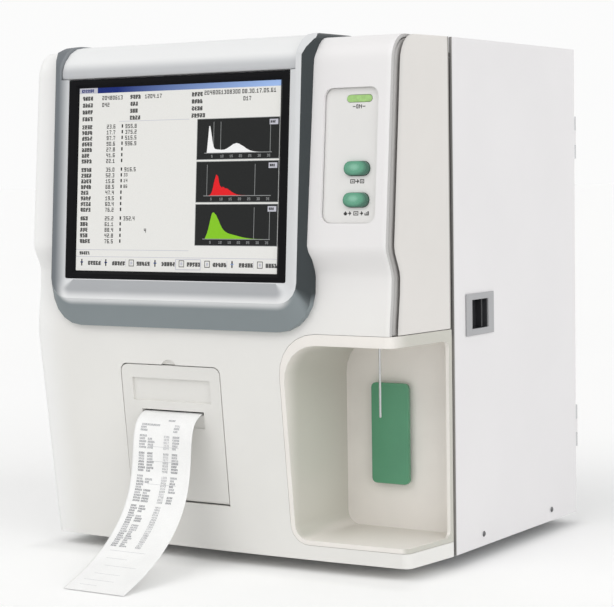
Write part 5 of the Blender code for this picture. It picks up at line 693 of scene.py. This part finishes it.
def makeScreenPage(page, graph):
    # places are shares of the page, from its upper left corner
    maker = random.Random(page["seed"])
    lean = math.radians(page["lean"])
    corner = Vector(page["corner"])
    right = Vector((1, 0, 0))
    up = Vector((0, math.sin(lean), math.cos(lean)))
    out = Vector((0, -math.cos(lean), math.sin(lean)))
    wide, tall = page["wide"] - 2 * page["margin"], page["tall"] - 2 * page["margin"]
    points, faces, groups = [], [], []
    inks = list(page["inks"])
    materials = [pageMaterial(page, *look) if look else titleMaterial(page) for look in page["inks"].values()]

    def place(u, v, level):
        return (corner + right * (u - 0.5) * wide + up * (page["margin"] + (1 - v) * tall)
                + out * (page["lift"] + level * page["step"]))

    def addFace(spots, level, ink):
        base = len(points)
        points.extend(place(u, v, level) for u, v in spots)
        faces.append((base, base + 1, base + 2, base + 3))
        groups.append(inks.index(ink))

    def patch(u0, v0, u1, v1, level, ink):
        addFace(((u0, v1), (u1, v1), (u1, v0), (u0, v0)), level, ink)

    def marks(u, v, runs, size=1.0, ink="ink", level=1):
        du, dv = page["dot"] * size / wide, page["dot"] * size / tall
        for column, row, count in runs:
            end = column + count
            patch(u + column * du, v + row * dv, u + end * du, v + (row + page["fill"]) * dv, level, ink)

    def words(u, v, count, *how):
        marks(u, v, barRuns(count, maker), *how)

    def figures(u, v, number, *how):
        marks(u, v, numberRuns(number), *how)

    def frameLine(u0, v0, u1, v1, ink, thick):
        du, dv = thick / wide, thick / tall
        patch(u0, v0, u1, v0 + dv, 2, ink)
        patch(u0, v1 - dv, u1, v1, 2, ink)
        patch(u0, v0 + dv, u0 + du, v1 - dv, 2, ink)
        patch(u1 - du, v0 + dv, u1, v1 - dv, 2, ink)

    patch(0, 0, 1, 1, 0, "page")
    patch(0.095, 0.0, 1.0, 0.030, 1, "title")
    patch(0.0, 0.0, 0.095, 0.030, 1, "soft")
    words(0.012, 0.007, 6, 0.8, "title", 2)

    # heading block
    for row in range(4):
        v = 0.046 + row * 0.0375
        words(0.018, v, 4)
        words(0.265, v, 4 if row in (0, 3) else 3)
        words(0.575, v, 5 if row == 3 else 4)
    for u, v, number in page["figures"]:
        figures(u, v, number)
    patch(0.21, 0.186, 0.565, 0.1885, 1, "soft")

    # result rows in three blocks
    v = 0.203
    for row in range(page["rows"]):
        if row in page["gapRows"]:
            v += page["gap"]
        words(0.018, v, maker.choice((3, 4, 4)))
        figures(0.147, v, "%d.%d" % (maker.randint(10, 99), maker.randint(0, 9)))
        patch(0.224, v, 0.231, v + 0.018, 1, "ink")
        if row in page["wideRows"]:
            figures(0.243, v, "%d.%d" % (maker.randint(100, 999), maker.randint(1, 9)))
        elif row in page["smallRows"]:
            figures(0.240, v, str(maker.randint(10, 99)), 0.8)
        v += page["pitch"]
    figures(0.350, 0.768, "4")
    patch(0.0, 0.884, 0.575, 0.8865, 1, "soft")
    words(0.018, 0.895, 5, 0.8)

    def chart(v0, v1, ink, heights, rules):
        # thin columns under one curve, over a scale of figures
        u0, u1 = graph["left"], graph["right"]
        patch(u0, v0, u1, v1, 1, "chart")
        frameLine(u0, v0, u1, v1, "line", page["rule"])
        base = v1 - (v1 - v0) * graph["foot"]
        left, span = u0 + graph["inset"], (u1 - u0) - graph["taken"]
        patch(left - 0.012, base, left + span, base + 0.0035, 2, "line")
        reach = (v1 - v0) * graph["reach"]
        for index in range(graph["steps"]):
            first = left + span * index / graph["steps"]
            second = left + span * (index + 1) / graph["steps"]
            addFace(((first, base), (second, base), (second, base - heights[index + 1] * reach),
                     (first, base - heights[index] * reach)), 3, ink)
        for mark in range(graph["marks"]):
            u = left + span * (mark + 0.5) / graph["marks"]
            figures(u, base + (v1 - v0) * 0.055, str(mark * 5 + 5), 0.62, "line", 2)
        for share in rules:
            patch(left + span * share, v0 + 0.018, left + span * share + 0.0022, base, 2, "line")
        patch(u1 - 0.048, v0 + 0.012, u1 - 0.008, v0 + 0.040, 2, "soft")
        words(u1 - 0.043, v0 + 0.019, 3, 0.6, "chart", 3)

    def curve(humps, jitter=0.03):
        # each hump: middle, spread before it, spread after it, height
        heights = []
        for index in range(graph["steps"] + 1):
            t = index / graph["steps"]
            height = sum(top * math.exp(-((t - middle) / (rise if t < middle else fall)) ** 2)
                         for middle, rise, fall, top in humps)
            heights.append(height * (1 + maker.uniform(-jitter, jitter)) if t < graph["end"] else 0.0)
        heights[0] = 0.0
        return heights

    white = curve([(0.035, 0.022, 0.05, 0.92), (0.15, 0.10, 0.12, 0.10), (0.46, 0.15, 0.16, 0.30)])
    chart(0.188, 0.405, "white", white, (0.10, 0.21, 0.97))
    red = curve([(0.16, 0.05, 0.06, 0.74), (0.28, 0.05, 0.14, 0.26)], 0.10)
    chart(0.413, 0.630, "red", red, (0.01, 0.75))
    green = curve([(0.12, 0.07, 0.13, 0.86), (0.34, 0.14, 0.24, 0.16)], 0.02)
    chart(0.638, 0.858, "green", green, (0.75, 0.985))

    # key row under the page
    patch(0.0, 0.922, 1.0, 0.9245, 1, "soft")
    middle = 0.947
    for index in range(8):
        u = 0.024 + index * 0.1262
        if index in (2, 4, 5, 7):
            frameLine(u, middle - 0.010, u + 0.026, middle + 0.026, "ink", 0.0005)
            patch(u + 0.008, middle, u + 0.018, middle + 0.016, 2, "soft")
        else:
            patch(u + 0.004, middle - 0.010, u + 0.010, middle + 0.026, 2, "ink")
            patch(u, middle + 0.004, u + 0.014, middle + 0.010, 2, "title")
        words(u + 0.040, middle, 5)
        patch(u + 0.108, middle - 0.012, u + 0.1095, middle + 0.030, 2, "soft")
    frameLine(0.512, 0.930, 0.636, 0.988, "soft", 0.0005)
    return buildMesh("display_page", points, faces, groups, materials)


displayPage = makeScreenPage(screenPage, chartLook)
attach(displayPage, "cabinet")
print("display page made,", len(displayPage.data.polygons), "patches")


plateMarks = {
    "lean": 4.905156, "middle": 0.1402, "dot": 0.00060, "lift": 0.00006,
    "below": {"lamp_lens": 0.0025, "print_button": 0.0040, "run_button": 0.0044},
    "dark": (0.012, 0.012, 0.012), "light": (0.03, 0.03, 0.03), "grain": 0.0002, "rough": (0.4, 0.55),
    "glyphs": {
        "lamp_lens": ("0000011101001000000", "0000010101101000000", "1111010101011011110",
                      "0000010101001000000", "0000011101001000000"),
        "print_button": ("11111110001000111111", "10000010001100100001", "10111011111110101101",
                         "10000010001100100001", "11111110001000111111"),
        "run_button": ("001000001000001111111000010000000011", "011100001100001000001000011000001011",
                       "111110111110001011101001111100101011", "111110001100001000001000011000101011",
                       "011100001000001111111000010000111111"),
    },
}


def captionMaterial(look):
    material, tree, shader = startMaterial("captionGrey")
    fine = addNoise(tree, look["grain"], 1.0)
    tree.links.new(addRamp(tree, fine, look["dark"], look["light"]), shader.inputs["Base Color"])
    addRough(tree, shader, fine, *look["rough"])
    return material


def plateFace(look):
    # the plate's front plane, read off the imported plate's own faces
    lean = math.radians(look["lean"])
    inward = Vector((0, math.cos(lean), -math.sin(lean)))
    depths = [face.center.dot(inward) for face in nodes["control_plate"].data.polygons
              if face.normal.dot(-inward) > 0.999 and face.area > 0.00001]
    return min(depths), inward


def addPlateMarks(look):
    # plain pictograms under the lamp and the keys, and the word ON under the lamp
    depth, inward = plateFace(look)
    points, faces = [], []
    for name, rows in look["glyphs"].items():
        size = look["dot"]
        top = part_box(name)[0].z - look["below"][name] + len(rows) * size / 2
        left = look["middle"] - len(rows[0]) * size / 2
        for row, dots in enumerate(rows):
            for column, dot in enumerate(dots):
                if dot == "0":
                    continue
                base = len(points)
                x0, z0 = left + column * size, top - (row + 1) * size
                for x, z in ((x0, z0), (x0 + size, z0), (x0 + size, z0 + size), (x0, z0 + size)):
                    y = (depth - z * inward.z) / inward.y
                    points.append(Vector((x, y, z)) - inward * look["lift"])
                faces.append((base, base + 1, base + 2, base + 3))
    return buildMesh("plate_marks", points, faces, [0] * len(faces), [captionMaterial(look)])


markPiece = addPlateMarks(plateMarks)
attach(markPiece, "cabinet")
print("control marks made")


paperRun = {
    "slot": (-0.0351, -0.0909229, 0.1196223),  # middle of the slot, where the strip comes out
    "reach": 0.1274, "drift": 0.0164, "floor": 0.0007,
    "forward": (0.0, 0.3213, -0.1231, 1.0), "fall": (0.0, 0.0801, 0.654, 1.0),  # shares of reach and drop
    "wide": 0.057, "thick": 0.00012, "curl": 0.0011, "curlEnd": 1.15,
    "steps": 180, "across": 40, "cuts": 2000,
    "bendStart": (-0.0347, -0.1050, 0.1095), "bendEnd": (-0.0265, -0.1390, 0.0395),
    "dark": (0.86, 0.86, 0.85), "light": (0.93, 0.93, 0.92), "fibre": 0.0012, "cloud": 0.02,
    "rough": (0.42, 0.6), "depth": 0.00002, "bump": 0.4,
}


def paperPoint(run, share):
    start = Vector(run["slot"])
    drop = start.z - run["floor"]
    left = 1 - share
    weights = (left ** 3, 3 * share * left ** 2, 3 * share ** 2 * left, share ** 3)
    forward = sum(weight * run["reach"] * part for weight, part in zip(weights, run["forward"]))
    down = sum(weight * drop * part for weight, part in zip(weights, run["fall"]))
    return Vector((start.x + run["drift"] * share ** 2, start.y - forward, start.z - down))


def paperNormal(run, share):
    ahead = paperPoint(run, min(1, share + 0.01)) - paperPoint(run, max(0, share - 0.01))
    normal = Vector((0, ahead.z, -ahead.y)).normalized()
    return normal if normal.y < 0 or normal.z > 0 else -normal


# length of paper up to each cut
paperLine = [paperPoint(paperRun, i / paperRun["cuts"]) for i in range(paperRun["cuts"] + 1)]
paperLengths = [0.0]
for first, second in zip(paperLine, paperLine[1:]):
    paperLengths.append(paperLengths[-1] + (second - first).length)
paperLong = paperLengths[-1]


def shareAt(run, distance):
    low, high = 0, run["cuts"]
    while high - low > 1:
        middle = (low + high) // 2
        if paperLengths[middle] < distance:
            low = middle
        else:
            high = middle
    gap = paperLengths[high] - paperLengths[low]
    return (low + (distance - paperLengths[low]) / gap) / run["cuts"]


def paperSpot(run, distance, across, lift):
    # across runs from -1 to 1; the edges lift a little towards the free end, as roll paper keeps its curl
    share = shareAt(run, min(max(distance, 0.0), paperLong))
    rise = run["curl"] * math.sin(math.pi * min(1.0, share * run["curlEnd"])) * (across ** 2)
    shift = Vector((across * run["wide"] / 2, 0, 0))
    return paperPoint(run, share) + shift + paperNormal(run, share) * (rise + lift)


def paperMaterial(look):
    material, tree, shader = startMaterial("thermalPaper")
    fibre = addNoise(tree, look["fibre"], 4.0, 0.65)
    cloud = addNoise(tree, look["cloud"])
    tone = mathStep(tree, "MULTIPLY_ADD", fibre, 0.5, mathStep(tree, "MULTIPLY", cloud, 0.5))
    tree.links.new(addRamp(tree, tone, look["dark"], look["light"]), shader.inputs["Base Color"])
    addRough(tree, shader, fibre, *look["rough"])
    addBump(tree, shader, fibre, look["depth"], look["bump"])
    return material


def makePaper(run):
    # two curved sides, joined by narrow faces all round
    points, faces = [], []
    rows, columns = run["steps"], run["across"]
    for lift in (run["thick"] / 2, -run["thick"] / 2):
        for i in range(rows + 1):
            for j in range(columns + 1):
                points.append(paperSpot(run, paperLong * i / rows, 2 * j / columns - 1, lift))
    layer = (rows + 1) * (columns + 1)

    def at(side, i, j):
        return side * layer + i * (columns + 1) + j

    for i in range(rows):
        for j in range(columns):
            faces.append((at(0, i, j), at(0, i + 1, j), at(0, i + 1, j + 1), at(0, i, j + 1)))
            faces.append((at(1, i, j), at(1, i, j + 1), at(1, i + 1, j + 1), at(1, i + 1, j)))
    for i in range(rows):
        faces.append((at(0, i, 0), at(1, i, 0), at(1, i + 1, 0), at(0, i + 1, 0)))
        faces.append((at(0, i, columns), at(0, i + 1, columns), at(1, i + 1, columns), at(1, i, columns)))
    for j in range(columns):
        faces.append((at(0, 0, j), at(0, 0, j + 1), at(1, 0, j + 1), at(1, 0, j)))
        faces.append((at(0, rows, j), at(1, rows, j), at(1, rows, j + 1), at(0, rows, j + 1)))
    piece = buildMesh("paper_sheet", points, faces, [0] * len(faces), [paperMaterial(run)])
    piece.data.polygons.foreach_set("use_smooth", [True] * len(faces))
    return piece


printRun = {
    "seed": 11, "dot": 0.00034, "fill": 0.8, "lift": 0.00005,
    "start": 0.012, "heading": 0.0046, "pitch": 0.0023, "end": 0.66,
    "columns": (-0.0225, -0.0145, 0.0010, 0.0095), "gapRows": (3, 9, 17, 28), "ruledRows": (7, 12, 20),
    "rule": {"down": 0.0020, "x": -0.012, "wide": 0.0035, "tall": 0.0003, "pieces": 8},
    # share of the paper's length, left end and width of the faint rules at its free end
    "endRules": ((0.70, -0.020, 0.034), (0.75, -0.018, 0.020), (0.80, -0.014, 0.030), (0.86, -0.016, 0.024),
                 (0.91, -0.020, 0.028), (0.95, -0.019, 0.016)),
    "endPieces": 12, "endTall": 0.00035,
    "inks": (("printGrey", (0.34, 0.34, 0.36), (0.50, 0.50, 0.52)),
             ("printDark", (0.20, 0.20, 0.22), (0.34, 0.34, 0.36)),
             ("printFaint", (0.54, 0.54, 0.55), (0.66, 0.66, 0.67))),
    "grain": 0.0005, "rough": (0.45, 0.6),
}


def inkMaterial(look, name, dark, light):
    material, tree, shader = startMaterial(name)
    speck = addNoise(tree, look["grain"])
    tree.links.new(addRamp(tree, speck, dark, light), shader.inputs["Base Color"])
    addRough(tree, shader, speck, *look["rough"])
    return material


def makePrint(run, look):
    maker = random.Random(look["seed"])
    points, faces, groups = [], [], []

    def dash(distance, x, wide, ink, tall):
        # one run of dots, cut up so that it follows the paper
        base = len(points)
        half = run["wide"] / 2
        far = distance + tall
        for down, across in ((far, x), (far, x + wide), (distance, x + wide), (distance, x)):
            points.append(paperSpot(run, down, across / half, run["thick"] / 2 + look["lift"]))
        faces.append((base, base + 1, base + 2, base + 3))
        groups.append(ink)

    def line(distance, x, runs, ink=0):
        dot = look["dot"]
        for column, row, count in runs:
            dash(distance + row * dot, x + column * dot, count * dot, ink, dot * look["fill"])

    distance = look["start"]
    line(distance, 0.002, barRuns(5, maker))
    distance += look["heading"]
    line(distance, -0.022, barRuns(13, maker))
    line(distance, 0.010, numberRuns("0481"))
    row = 0
    first, second, third, fourth = look["columns"]
    while distance < paperLong * look["end"]:
        distance += look["pitch"]
        row += 1
        if row in look["gapRows"]:
            continue
        dark = 1 if row > 9 and maker.random() < 0.6 else 0
        line(distance, first, barRuns(maker.choice((4, 5)), maker), dark)
        if row > 4 and maker.random() < 0.9:
            line(distance, second, barRuns(maker.choice((3, 4, 5)), maker), dark)
        if row > 2 or maker.random() < 0.5:
            line(distance, third, numberRuns(str(maker.randint(100, 9999))), dark)
        if row < 30 and maker.random() < 0.85:
            line(distance, fourth, barRuns(maker.choice((3, 4, 5)), maker), dark)
        if row in look["ruledRows"]:
            rule = look["rule"]
            for piece in range(rule["pieces"]):
                dash(distance + rule["down"], rule["x"] + piece * rule["wide"], rule["wide"], 2, rule["tall"])
    for share, x, wide in look["endRules"]:
        step = wide / look["endPieces"]
        for piece in range(look["endPieces"]):
            dash(paperLong * share, x + piece * step, step, 2, look["endTall"])
    inks = [inkMaterial(look, *ink) for ink in look["inks"]]
    return buildMesh("paper_print", points, faces, groups, inks)


paperSheet = makePaper(paperRun)
paperPrint = makePrint(paperRun, printRun)
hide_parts("paper_strip")
for piece in (paperSheet, paperPrint):
    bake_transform(piece)
print("paper made, %.4f m long" % paperLong)


rollLook = {
    "middle": (0, -0.06033, 0.09),  # a point on the roll's own axis
    "rings": 900, "cloud": 0.004, "dark": (0.84, 0.84, 0.83), "light": (0.90, 0.90, 0.89),
    "rough": (0.55, 0.7), "depth": 0.00003, "bump": 0.5, "edge": 0.0003,
}


def rollMaterial(look):
    # wound edge: fine rings about the roll's own axis
    material, tree, shader = startMaterial("paperRollWhite")
    cloud = addNoise(tree, look["cloud"], 3.0)
    tree.links.new(addRamp(tree, cloud, look["dark"], look["light"]), shader.inputs["Base Color"])
    spot = tree.nodes.new("ShaderNodeTexCoord")
    off = vectorStep(tree, "SUBTRACT", spot.outputs["Object"], look["middle"])
    rings = tree.nodes.new("ShaderNodeTexWave")
    rings.wave_type = "RINGS"
    rings.rings_direction = "X"
    rings.inputs["Scale"].default_value = look["rings"]
    tree.links.new(off, rings.inputs["Vector"])
    addBump(tree, shader, rings.outputs["Fac"], look["depth"], look["bump"])
    addRough(tree, shader, cloud, *look["rough"])
    return material


setFinish(nodes["paper_roll"], rollMaterial(rollLook))
softenEdges(nodes["paper_roll"], rollLook["edge"])


studio = {
    "floor": (0.90, 0.90, 0.895), "floorDrift": 0.005, "floorCloud": 0.4, "floorRough": 0.9,
    "floorGloss": 0.1, "floorHalf": 30.0,
    "foot": ((-0.172, -0.095, 0.0), (0.172, 0.205, 0.0)),
    # over this reach off the foot the camera's lift fades out, leaving a painted contact shadow around the
    # object
    "lift": 0.105, "contactShadowReach": (-0.010, 0.022),  # metres off the foot
    "backdrop": (0.970, 0.970, 0.968), "sky": (1.0, 1.0, 1.0), "skyLevel": 0.60,
    "suns": (
        {"name": "keySun", "from": (-0.22, -0.62, 0.75), "level": 0.27, "angle": 50,
         "tone": (1.0, 0.995, 0.985)},
        {"name": "fillSun", "from": (0.85, -0.25, 0.46), "level": 0.32, "angle": 60,
         "tone": (0.98, 0.99, 1.0)},
    ),
}


def makeBench(look):
    material, tree, shader = startMaterial("benchWhite")
    cloud = addNoise(tree, look["floorCloud"])
    dark, light = tint(look["floor"], 1 - look["floorDrift"]), tint(look["floor"], 1 + look["floorDrift"])
    tree.links.new(addRamp(tree, cloud, dark, light), shader.inputs["Base Color"])
    shader.inputs["Roughness"].default_value = look["floorRough"]
    shader.inputs["Specular IOR Level"].default_value = look["floorGloss"]
    # the camera alone sees the bench a little brighter, so that it meets the backdrop; close to the object's
    # foot this lift fades out, which paints a soft contact shadow around it
    seen = tree.nodes.new("ShaderNodeLightPath").outputs["Is Camera Ray"]
    spot = tree.nodes.new("ShaderNodeTexCoord").outputs["Object"]
    low, high = look["foot"]
    nearest = vectorStep(tree, "MAXIMUM", vectorStep(tree, "MINIMUM", spot, high), low)
    off = vectorStep(tree, "LENGTH", vectorStep(tree, "SUBTRACT", spot, nearest))
    lift = product(tree, [seen, smoothShare(tree, off, *look["contactShadowReach"]), look["lift"]])
    tree.links.new(lift, shader.inputs["Emission Strength"])
    shader.inputs["Emission Color"].default_value = (1, 1, 1, 1)
    half = look["floorHalf"]
    corners = [(-half, -half, 0), (half, -half, 0), (half, half, 0), (-half, half, 0)]
    bench = buildMesh("bench", corners, [(0, 1, 2, 3)], [0], [material])


def makeSky(look):
    # the camera, mirrors and clear pieces see the backdrop, all else is lit by the sky
    world = bpy.data.worlds.new("studio")
    scene.world = world
    world.use_nodes = True
    tree = world.node_tree
    tree.nodes.clear()
    rays = tree.nodes.new("ShaderNodeLightPath")
    seen = rays.outputs["Is Camera Ray"]
    for ray in ("Is Glossy Ray", "Is Transmission Ray"):
        seen = mathStep(tree, "MAXIMUM", seen, rays.outputs[ray])
    light = tree.nodes.new("ShaderNodeBackground")
    light.inputs["Color"].default_value = (*look["sky"], 1)
    light.inputs["Strength"].default_value = look["skyLevel"]
    shown = tree.nodes.new("ShaderNodeBackground")
    shown.inputs["Color"].default_value = (*look["backdrop"], 1)
    mix = tree.nodes.new("ShaderNodeMixShader")
    out = tree.nodes.new("ShaderNodeOutputWorld")
    tree.links.new(seen, mix.inputs["Fac"])
    tree.links.new(light.outputs["Background"], mix.inputs[1])
    tree.links.new(shown.outputs["Background"], mix.inputs[2])
    tree.links.new(mix.outputs["Shader"], out.inputs["Surface"])


def makeSuns(look):
    for sun in look["suns"]:
        lamp = bpy.data.lights.new(sun["name"], "SUN")
        lamp.energy = sun["level"] * math.pi
        lamp.angle = math.radians(sun["angle"])
        lamp.color = sun["tone"]
        holder = bpy.data.objects.new(sun["name"], lamp)
        holder.rotation_euler = Vector(sun["from"]).to_track_quat("Z", "Y").to_euler()
        scene.collection.objects.link(holder)


viewpoint = {
    "place": (0.8791, -1.3233, 0.3093),
    "yaw": 32.59, "down": 3.93, "roll": -0.86,
    "lens": 113.6, "sensor": 36, "near": 0.01,
}


def makeCamera(look):
    yaw, down, roll = (math.radians(look[key]) for key in ("yaw", "down", "roll"))
    ahead = Vector((-math.sin(yaw) * math.cos(down), math.cos(yaw) * math.cos(down), -math.sin(down)))
    right = Vector((math.cos(yaw), math.sin(yaw), 0))
    up = right.cross(ahead)
    side = right * math.cos(roll) + up * math.sin(roll)
    top = up * math.cos(roll) - right * math.sin(roll)
    lens = bpy.data.cameras.new("photoView")
    lens.lens = look["lens"]
    lens.sensor_width = look["sensor"]
    lens.clip_start = look["near"]
    camera = bpy.data.objects.new("photoView", lens)
    turn = Matrix((side, top, -ahead)).transposed().to_4x4()
    camera.matrix_world = Matrix.Translation(look["place"]) @ turn
    scene.collection.objects.link(camera)
    scene.camera = camera


makeBench(studio)
makeSky(studio)
makeSuns(studio)
makeCamera(viewpoint)
scene.view_settings.view_transform = "Standard"
print("studio and camera set")
